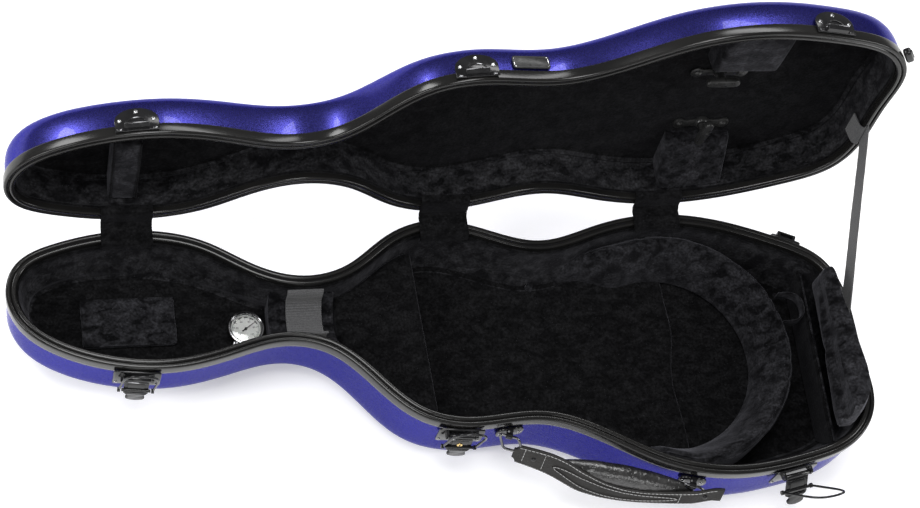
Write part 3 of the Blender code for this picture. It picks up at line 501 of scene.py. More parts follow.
def join_rings(made, first, second):
    count = max(len(first), len(second))
    for k in range(count):
        following = (k + 1) % count
        if len(first) == 1:
            made.faces.new((first[0], second[k], second[following]))
        elif len(second) == 1:
            made.faces.new((first[k], second[0], first[following]))
        else:
            made.faces.new((first[k], second[k], second[following], first[following]))


def from_rings(rings, closed=False, caps=True):
    """A solid from rings of points; closed joins the last ring to the first."""
    made = bmesh.new()
    stack = [[made.verts.new(p) for p in ring] for ring in rings]
    for first, second in zip(stack, stack[1:]):
        join_rings(made, first, second)
    if closed:
        join_rings(made, stack[-1], stack[0])
    elif caps:
        for ring in (stack[0], stack[-1]):
            if len(ring) > 2:
                made.faces.new(ring)
    return made


def tub(outer, inner, sign):
    """A closed tub from an outer and an inner stack of (points, depths) rings."""
    made = bmesh.new()
    stacks = []
    for rings in (outer, inner):
        stack = []
        for points, depth in rings:
            heights = sign * np.broadcast_to(depth, len(points))
            stack.append([made.verts.new((x, y, z)) for (x, y), z in zip(points, heights)])
        stacks.append(stack)
        for first, second in zip(stack, stack[1:]):
            join_rings(made, first, second)
        made.faces.new(stack[-1])
    join_rings(made, stacks[0][0], stacks[1][0])
    bmesh.ops.triangulate(made, faces=[face for face in made.faces if len(face.verts) > 4])
    return made


def box(low, high, bevel=0.0, segments=2):
    made = bmesh.new()
    size = Vector(high) - Vector(low)
    middle = (Vector(high) + Vector(low)) / 2
    bmesh.ops.create_cube(made, size=1.0, matrix=Matrix.Translation(middle) @ Matrix.Diagonal((*size, 1.0)))
    if bevel:
        bmesh.ops.bevel(
            made, geom=list(made.edges), offset=bevel, segments=segments, affect="EDGES", profile=0.5
        )
    return made


def prism(points, low, high, bevel=0.0, segments=2):
    """A flat outline extruded from low to high along Z, with its edges rounded."""
    made = bmesh.new()
    ring = [made.verts.new((x, y, low)) for x, y in points]
    face = made.faces.new(ring)
    shift = bmesh.ops.extrude_face_region(made, geom=[face])
    lift = Vector((0, 0, high - low))
    bmesh.ops.translate(made, verts=[v for v in shift["geom"] if isinstance(v, bmesh.types.BMVert)], vec=lift)
    if bevel:
        edges = [e for e in made.edges if abs((e.verts[0].co - e.verts[1].co).normalized().z) < 0.5]
        bmesh.ops.bevel(made, geom=edges, offset=bevel, segments=segments, affect="EDGES", profile=0.5)
    return made


def lathe(profile, segments=48, place=None):
    """A profile of (radius, height) turned about Z; radius zero closes on the axis."""
    rings = []
    for radius, height in profile:
        if radius == 0:
            rings.append([(0, 0, height)])
            continue
        turns = [math.tau * k / segments for k in range(segments)]
        rings.append([(radius * math.cos(t), radius * math.sin(t), height) for t in turns])
    made = from_rings(rings, caps=False)
    if place is not None:
        made.transform(place)
    return made


def smooth_path(points, count, closed=False):
    """Points along a Catmull-Rom curve through the given points."""
    path = [Vector(p) for p in points]
    spans = len(path) if closed else len(path) - 1
    found = []
    for k in range(count if closed else count + 1):
        t = k / count * spans
        i = min(int(t), spans - 1)
        u = t - i
        if closed:
            a, b, c, d = (path[(i + j) % len(path)] for j in (-1, 0, 1, 2))
        else:
            a = path[max(i - 1, 0)]
            b = path[i]
            c = path[min(i + 1, len(path) - 1)]
            d = path[min(i + 2, len(path) - 1)]
        found.append(0.5 * (
            (2 * b) + (c - a) * u + (2 * a - 5 * b + 4 * c - d) * u ** 2 + (3 * b - a - 3 * c + d) * u ** 3
        ))
    return found


def tube(points, radius, sides=12, closed=False):
    """A round wire along points; its ends are domed."""
    path = [Vector(p) for p in points]
    count = len(path)
    rings = []
    side = None
    for k, point in enumerate(path):
        before = path[k - 1] if closed or k else point
        after = path[(k + 1) % count] if closed or k < count - 1 else point
        along = (after - before).normalized()
        if side is None:
            side = along.orthogonal().normalized()
        side = (side - along * side.dot(along)).normalized()
        other = along.cross(side)
        turns = [math.tau * n / sides for n in range(sides)]
        widths = [(0.0, radius)]
        if not closed and k == 0:
            widths = [(-0.7 * radius, 0.45 * radius), (-0.4 * radius, 0.85 * radius), (0.0, radius)]
        if not closed and k == count - 1:
            widths = [(0.0, radius), (0.4 * radius, 0.85 * radius), (0.7 * radius, 0.45 * radius)]
        for shift, wide in widths:
            centre = point + along * shift
            rings.append([centre + wide * (math.cos(t) * side + math.sin(t) * other) for t in turns])
    return from_rings(rings, closed)


def strip(points, across, width, thickness, ribs=0.0, rib_pitch=2 * MM, edge=0.35):
    """A flat strap along points. ribs raises fine cross ribs; across is its width direction."""
    path = [Vector(p) for p in points]
    across = Vector(across).normalized()
    rings = []
    travel = 0.0
    for k, point in enumerate(path):
        along = (path[min(k + 1, len(path) - 1)] - path[max(k - 1, 0)]).normalized()
        up = across.cross(along).normalized()
        if k:
            travel += (point - path[k - 1]).length
        lift = ribs * (0.5 + 0.5 * math.cos(math.tau * travel / rib_pitch))
        half = width / 2
        soft = min(edge * thickness, half * 0.2)
        corners = (
            (-half + soft, 0), (-half, soft), (-half, thickness - soft), (-half + soft, thickness + lift),
            (
                0, thickness + lift * 1.15
            ), (half - soft, thickness + lift), (half, thickness - soft), (half, soft), (half - soft, 0),
        )
        rings.append([point + across * a + up * b for a, b in corners])
    return from_rings(rings)


def stitches(points, offset, length=2.4 * MM, gap=1.2 * MM, radius=0.32 * MM):
    """A row of short thread stitches along points, each standing off by offset."""
    path = [Vector(p) for p in points]
    travel = [0.0]
    for a, b in zip(path, path[1:]):
        travel.append(travel[-1] + (b - a).length)
    parts = []
    start = 0.5 * gap
    while start + length < travel[-1]:
        ends = []
        for place in (start, start + length * 0.5, start + length):
            x = [np.interp(place, travel, [p[axis] for p in path]) for axis in range(3)]
            ends.append(Vector(x) + Vector(offset))
        ends[1] += Vector(offset) * 0.4
        parts.append(tube(ends, radius, sides=6))
        start += length + gap
    return joined(*parts)


def rumpled(obj, amount, scale, seed=0.0, keep=None):
    """Moves a mesh's points along their normals by smooth noise, as stuffed cloth does."""
    mesh = obj.data
    shift = Vector((seed, -seed, 2 * seed))
    normals = [v.normal.copy() for v in mesh.vertices]
    for vertex, normal in zip(mesh.vertices, normals):
        share = 1.0 if keep is None else keep(vertex.co)
        vertex.co += normal * amount * share * noise.noise(vertex.co * scale + shift)
    return obj


def subdivided(obj, levels=1):
    step = obj.modifiers.new("round", "SUBSURF")
    step.levels = levels
    step.render_levels = levels
    return baked(obj)


def baked(obj):
    """The object's evaluated mesh as its own mesh, with no modifiers left."""
    bpy.context.view_layer.update()
    graph = bpy.context.evaluated_depsgraph_get()
    mesh = bpy.data.meshes.new_from_object(obj.evaluated_get(graph))
    obj.modifiers.clear()
    obj.data = mesh
    mesh.shade_smooth()
    return obj


def remeshed(obj, voxel):
    step = obj.modifiers.new("remesh", "REMESH")
    step.mode = "VOXEL"
    step.voxel_size = voxel
    step.use_smooth_shade = True
    return baked(obj)


def stuffed(obj, pressure, cap, frames=20, shrink=-0.06):
    """Swells a soft piece with a short cloth simulation, then limits how far each point moved."""
    before = np.array([v.co for v in obj.data.vertices])
    cloth = obj.modifiers.new("cloth", "CLOTH")
    settings = cloth.settings
    settings.use_pressure = True
    settings.uniform_pressure_force = pressure
    settings.effector_weights.gravity = 0.0
    settings.shrink_min = shrink
    settings.quality = 5
    settings.tension_stiffness = 12
    settings.compression_stiffness = 12
    settings.bending_stiffness = 0.4
    scene = bpy.context.scene
    scene.frame_start = 1
    scene.frame_end = frames
    for number in range(1, frames + 1):
        scene.frame_set(number)
    baked(obj)
    after = np.array([v.co for v in obj.data.vertices])
    move = after - before
    reach = np.linalg.norm(move, axis=1)
    scale = np.minimum(1.0, cap / np.maximum(reach, 1e-9))
    placed = before + move * scale[:, None]
    obj.data.vertices.foreach_set("co", placed.astype(np.float32).ravel())
    obj.data.update()
    scene.frame_set(1)
    return subdivided(obj)


# ---------------------------------------------------------------- shells, rims and linings

def shell_shares(half):
    """(width share, depth share) pairs down a wall section, close together where it turns."""
    power = SQUARENESS[half]
    cap = CAP[half]
    pairs = []
    for fall in (0.2, 0.35, 0.5, 0.62, 0.72, 0.8, 0.86, 0.9, 0.935):
        share = (1 - fall ** power) ** (1 / power)
        if share > cap + 0.02:
            pairs.append((share, fall))
    last = pairs[-1][0]
    for k in range(1, 9):
        share = last + (cap - last) * k / 8
        pairs.append((share, (1 - share ** power) ** (1 / power)))
    return pairs


def section_rings(half, extra, top):
    edge = inset(SHELL_INSET + extra)
    feet = spine_feet(edge)
    full = depth_of(half, edge[:, 0]) - extra
    rings = [(edge, np.full(len(edge), top))]
    for share, fall in shell_shares(half):
        rings.append((feet + (edge - feet) * share, np.maximum(full * fall, top + 0.5 * MM)))
    cap = CAP[half]
    for inner in (0.75 * cap, 0.5 * cap, 0.25 * cap):
        rings.append((feet + (edge - feet) * inner, full))
    return rings


def add_shell(half):
    top = RIM_SEAT + 0.4 * MM
    made = tub(section_rings(half, 0.0, top), section_rings(half, SHELL_WALL, top), SIGN[half])
    piece(f"{half}_shell_skin", made, PAINT, half, PLACE[half], (f"{half}_shell",), 60)


RIM_PROFILE = (
    (0.05, 0.75), (0.0, 0.45), (0.0, 0.2), (0.1, 0.13), (0.35, 0.075), (0.8, 0.035),
    (1.5, 0.022), (2.6, 0.018),
    (3.5, 0.024), (4.0, 0.045), (4.35, 0.10), (4.7, 0.125), (5.05, 0.10), (5.4, 0.045), (5.9, 0.024),
    (7.2, 0.016), (8.3, 0.024), (9.0, 0.045), (9.35, 0.085), (9.5, 0.14), (9.5, 0.3),
)


def add_rim(half):
    """The black moulding that caps a half: a skirt over the shell, and two ridges with a groove."""
    band = BAND[half]
    sign = SIGN[half]
    unit = 14 * MM
    profile = [(0.55 * MM, band + 0.1 * MM), (0.2 * MM, band - 0.5 * MM)]
    for distance, depth in RIM_PROFILE:
        profile.append((distance * MM, min(depth * unit, band - 1.2 * MM)))
    profile += [(RIM_INNER, RIM_SEAT), (1.4 * MM, RIM_SEAT), (1.4 * MM, band - 0.2 * MM)]
    profile.append((1.1 * MM, band + 0.2 * MM))
    rings = []
    for distance, depth in profile:
        rings.append([(x, y, sign * depth) for x, y in inset(distance)])
    made = from_rings(rings, closed=True)
    piece(f"{half}_rim_moulding", made, RIM, half, PLACE[half], (f"{half}_rim",), 70)


def wall_padding(point):
    """Gentle unevenness of glued, padded velvet, in metres."""
    p = Vector(point)
    broad = noise.noise(p * 14 + Vector((3, 5, 7)))
    fine = noise.noise(p * 55 + Vector((9, 2, 4)))
    return (0.9 * broad + 0.35 * fine) * MM


def room_rings(half, count=20):
    """Rings of the velvet room from the rim down to a rounded floor edge, then in over the floor."""
    fillet = 7 * MM
    rings = []
    for k in range(count + 1):
        rings.append(room_ring(half, 0.02 + 0.86 * k / count if k else 0.0))
    wall, _ = room_ring(half, 1.0)
    feet = spine_feet(wall)
    floor = floor_of(half, wall[:, 0])
    reach = np.linalg.norm(wall - feet, axis=1)
    for k in range(1, 6):
        t = math.pi / 2 * k / 5
        drawn = (1 - math.cos(t)) * fillet
        side = wall + (feet - wall) * (drawn / reach)[:, None]
        rings.append((side, floor - fillet * (1 - math.sin(t)) * 0.9))
    for share in (0.85, 0.7, 0.55, 0.4, 0.25, 0.12):
        rings.append((feet + (wall - feet) * share, floor))
    return rings


def add_lining(half):
    sign = SIGN[half]
    top = RIM_SEAT + LINING_GAP
    outer = section_rings(half, SHELL_WALL + LINING_GAP, top)
    inner = room_rings(half)
    made = tub(outer, inner, sign)
    made.verts.ensure_lookup_table()
    skipped = (len(outer)) * LOOP_POINTS
    feet = [spine_feet(np.array([[v.co.x, v.co.y]]))[0] for v in made.verts]
    for vertex, foot in zip(made.verts, feet):
        if vertex.index < skipped:
            continue
        inward = Vector((foot[0] - vertex.co.x, foot[1] - vertex.co.y, 0)).normalized()
        deep = min(abs(vertex.co.z) - top, 12 * MM) / (12 * MM)
        level = abs(abs(vertex.co.z) - float(floor_of(half, np.array([vertex.co.x]))[0])) < 0.3 * MM
        vertex.co += (inward * (0.3 if level else 1.0)) * wall_padding(vertex.co) * deep
        if level:
            vertex.co.z -= sign * abs(wall_padding(vertex.co)) * 0.7
    obj = object_from(f"{half}_velvet_lining", made, VELVET_WALL, PLACE[half], 80)
    obj.data.materials.append(VELVET)
    outward = PLACE[half].to_3x3() @ Vector((0, 0, 1))
    for face in obj.data.polygons:  # painted shade and sheen: floor faces take the darker velvet and read as plain black, wall faces the lighter one
        face.material_index = 1 if abs(face.normal.dot(outward)) > 0.8 else 0
    settled(obj, half, (f"{half}_lining",))
    add_seam(half, 0.985, 0.9 * MM, f"{half}_floor_piping", VELVET_LIT)
    add_seam(half, 0.012, 1.3 * MM, f"{half}_rim_piping", VELVET)


def add_seam(half, share, radius, name, material):
    points, depth = room_ring(half, share)
    feet = spine_feet(points)
    toward = (feet - points) / np.linalg.norm(feet - points, axis=1)[:, None]
    shifted = points + toward * 0.4 * radius
    path = [(x, y, SIGN[half] * z) for (x, y), z in zip(shifted, depth)]
    piece(name, tube(path[::2], radius, 8, closed=True), material, half, PLACE[half])


# ---------------------------------------------------------------- velvet furniture of the base

def z_share(half, z):
    """How deep z, measured from the rim plane into the half, lies between the rim and the floor."""
    top = RIM_SEAT + LINING_GAP
    deepest = BASE_FLOORS[1] if half == "base" else LID_FLOORS[1]
    return min(max((abs(z) - top) / (deepest - top), 0.0), 1.0)


def crowned(distance, rounding):
    """How far a stuffed pad's surface has dropped, as a share of its rounding, near an edge."""
    t = min(max(distance / rounding, 0.0), 1.0)
    return 1 - math.sqrt(1 - (1 - t) ** 2)


def wall_to_wall(half, x_front, x_back, level, low, rounding, clear=1.2 * MM, grid=(40, 48), shape=None):
    """A padded block that reaches from wall to wall. x_front and x_back are its (near, far) x at either
    wall, level is the height of its top, and shape may lower the top at a point."""
    columns, rows = grid
    surfaces = []
    for top in (True, False):
        surface = []
        for i in range(columns + 1):
            u = i / columns
            line = []
            for j in range(rows + 1):
                v = j / rows
                x0 = x_front[0] + (x_front[1] - x_front[0]) * u
                x1 = x_back[0] + (x_back[1] - x_back[0]) * u
                x = x0 + (x1 - x0) * v
                share = z_share(half, level if top else low)
                y0 = room_span(half, share, x0)[0] + clear
                y1 = room_span(half, share, x1)[1] - clear
                y = y0 + (y1 - y0) * v
                if not top:
                    line.append(Vector((x, y, low)))
                    continue
                near = min(u, 1 - u) * abs(x_front[1] - x_front[0])
                side = min(v, 1 - v) * (y1 - y0)
                z = level - rounding * max(crowned(near, rounding * 1.6), 0.55 * crowned(side, rounding))
                if shape is not None:
                    z = shape(x, y, z)
                p = Vector((x, y, z))
                z += 0.8 * MM * noise.noise(p * 22) + 0.3 * MM * noise.noise(p * 90)
                line.append(Vector((x, y, z)))
            surface.append(line)
        surfaces.append(surface)
    return grid_solid(*surfaces)


def grid_solid(top, bottom):
    """A closed solid between two grids of points with the same size."""
    made = bmesh.new()
    sheets = [[[made.verts.new(p) for p in line] for line in surface] for surface in (top, bottom)]
    columns = len(top)
    rows = len(top[0])
    for sheet in sheets:
        for i in range(columns - 1):
            for j in range(rows - 1):
                made.faces.new((sheet[i][j], sheet[i + 1][j], sheet[i + 1][j + 1], sheet[i][j + 1]))
    border = [(i, 0) for i in range(columns)] + [(columns - 1, j) for j in range(1, rows)]
    border += [(i, rows - 1) for i in range(columns - 2, -1, -1)] + [(0, j) for j in range(rows - 2, 0, -1)]
    for (i, j), (m, n) in zip(border, border[1:] + border[:1]):
        made.faces.new((sheets[0][i][j], sheets[0][m][n], sheets[1][m][n], sheets[1][i][j]))
    return made


def add_floor_pad():
    floor = -BASE_FLOORS[1]
    made = wall_to_wall(
        "base", (-13 * MM, 229 * MM), (-21 * MM, 229 * MM), floor + 4.2 * MM, 0, 3.6 * MM,
        clear=1.6 * MM, grid=(70, 60),
    )
    lowest = floor + 0.3 * MM
    for vertex in made.verts:
        if vertex.co.z == 0:
            vertex.co.z = lowest
        across = (104 * MM - vertex.co.y) / (208 * MM)
        sway = 3 * math.exp(-((across - 0.3) / 0.12) ** 2) - 5 * math.exp(-((across - 0.56) / 0.16) ** 2)
        vertex.co.x += sway * MM * smooth(vertex.co.x, 150 * MM, 229 * MM)
    obj = piece("body_pad", made, VELVET, "base", BASE, ("body_floor_pad",), 80)


def add_platform():
    made = wall_to_wall(
        "base", (-100 * MM, -14 * MM), (-100 * MM, -22 * MM), -30 * MM, -62 * MM, 6 * MM, clear=1.5 * MM,
    )
    obj = piece("neck_platform_pad", made, VELVET, "base", BASE, ("neck_platform",), 80)


def add_cradle():
    def trough(x, y, z):
        middle = 57 * MM + (x + 180 * MM) / (100 * MM) * -7 * MM
        away = abs(y - middle)
        if away > 29 * MM:
            return z
        dip = -12 * MM - math.sqrt(max((24.5 * MM) ** 2 - away ** 2, 0))
        return min(z, dip) if away < 22 * MM else min(z, dip + (z - dip) * smooth(away, 22 * MM, 29 * MM))
    made = wall_to_wall(
        "base", (-161 * MM, -101.5 * MM), (-161 * MM, -101.5 * MM), -16 * MM, -58 * MM, 5 * MM, clear=2 * MM,
        grid=(36, 110), shape=trough,
    )
    obj = piece("neck_cradle_pad", made, VELVET_LIT, "base", BASE, ("neck_cradle",), 80)


def smooth(value, low, high):
    t = min(max((value - low) / (high - low), 0.0), 1.0)
    return t * t * (3 - 2 * t)


def add_neck_strap():
    """Webbing laid over the cradle and down through its trough, from wall to wall."""
    x = -129 * MM
    middle = 53.4 * MM
    front, back = room_span("base", z_share("base", -14 * MM), x)
    rim_front, rim_back = room_span("base", z_share("base", -8 * MM), x)
    points = [(rim_front + 1.8 * MM, -7.4), (front + 3.2 * MM, -13.2), (middle - 28.5 * MM, -14.6)]
    for k in range(-6, 7):
        t = math.radians(9.7 * k)
        points.append((middle + 22.4 * MM * math.sin(t), -12 - 22.4 * math.cos(t)))
    points += [(middle + 28.5 * MM, -14.6), (back - 3.2 * MM, -13.2), (rim_back - 1.8 * MM, -7.4)]
    inside = [(y, z) for y, z in points[1:-1] if front + 3 * MM < y < back - 3 * MM]
    path = smooth_path([Vector((x, y, z * MM)) for y, z in (points[0], *inside, points[-1])], 90)
    ribs = strip(path, (1, 0, 0), 33 * MM, 1.2 * MM, ribs=0.6 * MM, rib_pitch=2.6 * MM)
    obj = piece("neck_strap_weave", ribs, WEBBING, "base", BASE, ("neck_strap",), 50)


def add_scroll_pad():
    """Scroll bay's own small pad, with a piped edge."""
    low = -BASE_FLOORS[0] + 0.6 * MM
    made = box((-329 * MM, 43 * MM, low), (-244 * MM, 91 * MM, low + 5.2 * MM), bevel=2.2 * MM, segments=3)
    obj = object_from("scroll_bay_pad", made, VELVET_LIT, BASE)
    remeshed(obj, 2.6 * MM)
    obj = subdivided(obj)
    rumpled(obj, 1.0 * MM, 45, seed=3, keep=lambda p: 1.0 if p.z > RIM_Z + low + 3 * MM else 0.0)
    settled(obj, "base", ("scroll_pocket",))
    corners = ((-327.5, 44.5), (-245.5, 44.5), (-245.5, 89.5), (-327.5, 89.5))
    ring = smooth_path(
        [(x * MM, y * MM, low + 4.4 * MM) for x, y in corner_points(corners, 6)], 96, closed=True
    )
    piece("scroll_bay_piping", tube(ring, 0.6 * MM, 8, closed=True), VELVET_LIT, "base", BASE)


def corner_points(corners, radius):
    """A rectangle's corners rounded by a radius, in the corners' own unit."""
    found = []
    count = len(corners)
    for k, corner in enumerate(corners):
        before = Vector((*corners[k - 1], 0))
        here = Vector((*corner, 0))
        after = Vector((*corners[(k + 1) % count], 0))
        start = here + (before - here).normalized() * radius
        end = here + (after - here).normalized() * radius
        for t in (0.0, 0.5, 1.0):
            p = start * (1 - t) ** 2 + here * (2 * t * (1 - t)) + end * t * t
            found.append((p.x, p.y))
    return found


def ray_reach(half, share, centre, angle):
    """How far the room's wall is from centre in the direction of angle."""
    points, _ = room_ring(half, share)
    offset = points - np.array(centre)
    turn = np.arctan2(offset[:, 1], offset[:, 0])
    reach = np.linalg.norm(offset, axis=1)
    order = np.argsort(turn)
    wrapped = (angle + math.pi) % math.tau - math.pi
    return float(np.interp(wrapped, turn[order], reach[order], period=None))


CUSHION_CENTRE = (215 * MM, 6 * MM)
CUSHION_SPAN = (-112, 146)  # degrees round the body's end
CUSHION_FOLDS = (
    (-78, 5.0, 1.4), (-52, 4.0, 1.6), (-38, 3.0, 1.6), (-17, 2.0, 4.2), (-9, 2.6, 2.0), (8, 5.0, 1.8),
    (19, 2.0, 4.0),
    (24, 2.2, 3.0), (48, 5.0, 1.4), (71, 5.0, 1.4), (97, 2.4, 3.0), (112, 4.0, 1.4),
)  # (angle, width in degrees, depth in mm)


def cushion_fold(degrees, share):
    """Sunken pleats that cross the cushion's slope, deepest half way down."""
    depth = 0.0
    for middle, width, reach in CUSHION_FOLDS:
        bent = middle + 5 * (share - 0.5) * math.sin(middle)
        t = (degrees - bent) / width
        depth += reach * math.exp(-abs(t) * 2.2) * math.sin(math.pi * min(max(share, 0.0), 1.0))
    return depth * MM


def add_tail_cushion():
    """Stuffed crescent round the violin's lower end, with pleats and a double seam along its top."""
    floor = -BASE_FLOORS[1]
    section = (
        (116, -60), (116, -30), (115, -19), (111, -14.5), (105, -15.5), (98, -27), (91, -42), (87.5, -54),
        (86, -60)
    )
    section = smooth_path([(r * MM, 0, z * MM) for r, z in section], 44)
    first, last = CUSHION_SPAN
    stations = 200
    rings = []
    ridge = {"outer": [], "inner": [], "foot": []}
    for k in range(stations + 1):
        degrees = first + (last - first) * k / stations
        angle = math.radians(degrees)
        fade = smooth(last - degrees, 0, 34)
        taper = min(smooth(degrees - first, 0, 8), fade)
        wide = ray_reach("base", z_share("base", 18 * MM), CUSHION_CENTRE, angle) - 1.6 * MM
        along = smooth(degrees, 104, 128)  # past the widest part it follows the wall
        squeeze = min(wide, 116 * MM) * (1 - along) + min(wide, 150 * MM) * along
        ring = []
        for n, p in enumerate(section):
            share = n / (len(section) - 1)
            foot = 86 * MM * (1 - along) + (squeeze - (8 + 18 * fade) * MM) * along
            r = squeeze - (116 * MM - p.x) * max(squeeze - foot, 6 * MM) / (30 * MM)
            wall = ray_reach("base", z_share("base", p.z), CUSHION_CENTRE, angle) - 1.2 * MM
            fold = cushion_fold(degrees, share) if 3 < n < len(section) - 2 else 0.0
            z = p.z - fold * 0.8
            z = floor + (z - floor) * (0.55 + 0.45 * taper) * (1 - along * (1 - fade) * 0.6)
            r = min(r - 0.4 * fold, wall)
            c = Vector((CUSHION_CENTRE[0] + r * math.cos(angle), CUSHION_CENTRE[1] + r * math.sin(angle), z))
            puff = 1.3 * MM * noise.noise(c * 28) + 0.5 * MM * noise.noise(c * 80)
            c.z += puff if 4 < n < len(section) - 3 else 0.0
            ring.append(c)
            if n == 10:
                ridge["outer"].append(c + Vector((0, 0, 0.3 * MM)))
            if n == 17:
                ridge["inner"].append(c + Vector((0, 0, 0.2 * MM)))
        rings.append(ring)
    made = from_rings(rings)
    obj = piece("tail_cushion_pad", made, VELVET_LIT, "base", BASE, ("tail_cushion",), 80)
    for name in ("outer", "inner"):
        seam = smooth_path(ridge[name][4:-4], 160)
        piece(f"tail_cushion_{name}_piping", tube(seam, 0.7 * MM, 8), VELVET_LIT, "base", BASE)


def board(name, x, y_span, z_low, z_high, thickness, body="base"):
    """A velvet-wrapped board standing across the room, with a rounded top edge."""
    columns = 30
    rows = 14
    surfaces = []
    for side in (-1, 1):
        surface = []
        for i in range(columns + 1):
            line = []
            for j in range(rows + 1):
                w = j / rows
                z = z_low + (z_high - z_low) * w
                y0, y1 = room_span("base", z_share("base", z), x)
                y0 = max(y0 + 1.5 * MM, y_span[0])
                y1 = min(y1 - 1.5 * MM, y_span[1])
                y = y0 + (y1 - y0) * i / columns
                drop = thickness / 2 * crowned((1 - w) * (z_high - z_low), thickness)
                shift = side * (thickness / 2 - drop)
                p = Vector((x + shift, y, z - drop))
                p.x += 0.5 * MM * noise.noise(p * 40)
                line.append(p)
            surface.append(line)
        surfaces.append(surface)
    return piece(name, grid_solid(*surfaces), VELVET, body, BASE, ("divider_panel",), 70)


def add_divider():
    board("divider_board", 356.5 * MM, (-109 * MM, 89 * MM), -61 * MM, -22 * MM, 3.4 * MM)
    y0, y1 = room_span("base", z_share("base", -22 * MM), 356.5 * MM)
    y0 = max(y0 + 3 * MM, -107 * MM)
    y1 = min(y1 - 3 * MM, 87 * MM)
    seam = [(356.5 * MM, y0 + (y1 - y0) * k / 24, -21.2 * MM) for k in range(25)]
    piece("divider_piping", tube(seam, 1.0 * MM, 8), VELVET_LIT, "base", BASE)


def add_pull_loop():
    start = Vector((329 * MM, 44 * MM, -26 * MM))
    points = []
    for k in range(41):
        t = math.radians(104 - 208 * k / 40)
        sway = 1.2 * MM * math.sin(3 * t)
        points.append(start + Vector((18 * MM * math.cos(t) + 5 * MM, 15 * MM * math.sin(t) + sway, 0)))
    made = strip(points, (0, 0, 1), 13.5 * MM, 1.5 * MM, edge=0.5)
    obj = piece("pull_loop_tab", made, VELVET_LIT, "base", BASE, ("pull_loop",), 60)


def kept_clear(p):
    """Moves a point of the flap in from the walls of both halves, and further in beside the stay."""
    half = "lid" if p.z > 0 else "base"
    offset = Vector((p.x - CUSHION_CENTRE[0], p.y - CUSHION_CENTRE[1]))
    clear = 4.5 * MM + 4.5 * MM * math.exp(-((p.y - 34 * MM) / (22 * MM)) ** 2)
    reach = ray_reach(half, z_share(half, p.z), CUSHION_CENTRE, math.atan2(offset.y, offset.x)) - clear
    if offset.length > reach:
        offset *= reach / offset.length
    ceiling = LID_FLOORS[1] - 4 * MM
    return Vector((CUSHION_CENTRE[0] + offset.x, CUSHION_CENTRE[1] + offset.y, min(p.z, ceiling)))


def add_flap():
    """Puffed velvet flap of the accessory compartment, with a crease across its inner face."""
    pivot = Matrix.Translation((360 * MM, 0, -10 * MM))
    outline = (
        (-6.5, -80), (5, -82), (16, -79), (21, -62), (23, -15), (21, 32), (17, 54), (10, 61.5), (0, 61),
        (-2.5, 52), (-2, 10), (-4, -40)
    )
    points = smooth_path([(x * MM, y * MM, 0) for x, y in outline], 48, closed=True)
    made = prism([(p.x, p.y) for p in points], 1 * MM, 44 * MM, bevel=4 * MM, segments=3)
    obj = object_from("accessory_flap_pad", made, VELVET_LIT, BASE @ pivot)
    remeshed(obj, 4.5 * MM)
    obj = stuffed(obj, pressure=4.0, cap=6 * MM, shrink=-0.03)
    world = BASE @ pivot
    inverse = world.inverted()
    for vertex in obj.data.vertices:
        p = inverse @ vertex.co
        lean = 4.8 * smooth(p.z, 3 * MM, 8 * MM) * (1 - smooth(p.z, 16 * MM, 27 * MM))
        p.x = min(max(p.x, (-2.6 - lean) * MM), (17 + 7.5 * smooth(p.z, 8 * MM, 20 * MM)) * MM)
        crease = math.exp(-((p.y + 8 * MM - 0.3 * (p.z - 22 * MM)) / (6 * MM)) ** 2)
        p.x += 1.6 * MM * crease * (1 if p.x < 6 * MM else -1)
        p.x += 1.2 * MM * noise.noise(p * 32)
        p.z += 1.0 * MM * noise.noise(p * 26 + Vector((7, 1, 3)))
        vertex.co = BASE @ kept_clear(pivot @ p)
    obj.data.update()
    # painted sheen: the flap's faces at its near end that face -y take a paler velvet that stands in for
    # light caught at a slant
    obj.data.materials.append(VELVET_PAINTED_SHEEN)
    near_end = (world @ Vector((0, -72 * MM, 0))).y
    for face in obj.data.polygons:
        if face.center.y < near_end and face.normal.y < -0.25:
            face.material_index = 1
    settled(obj, "accessory_flap", ("accessory_flap",))


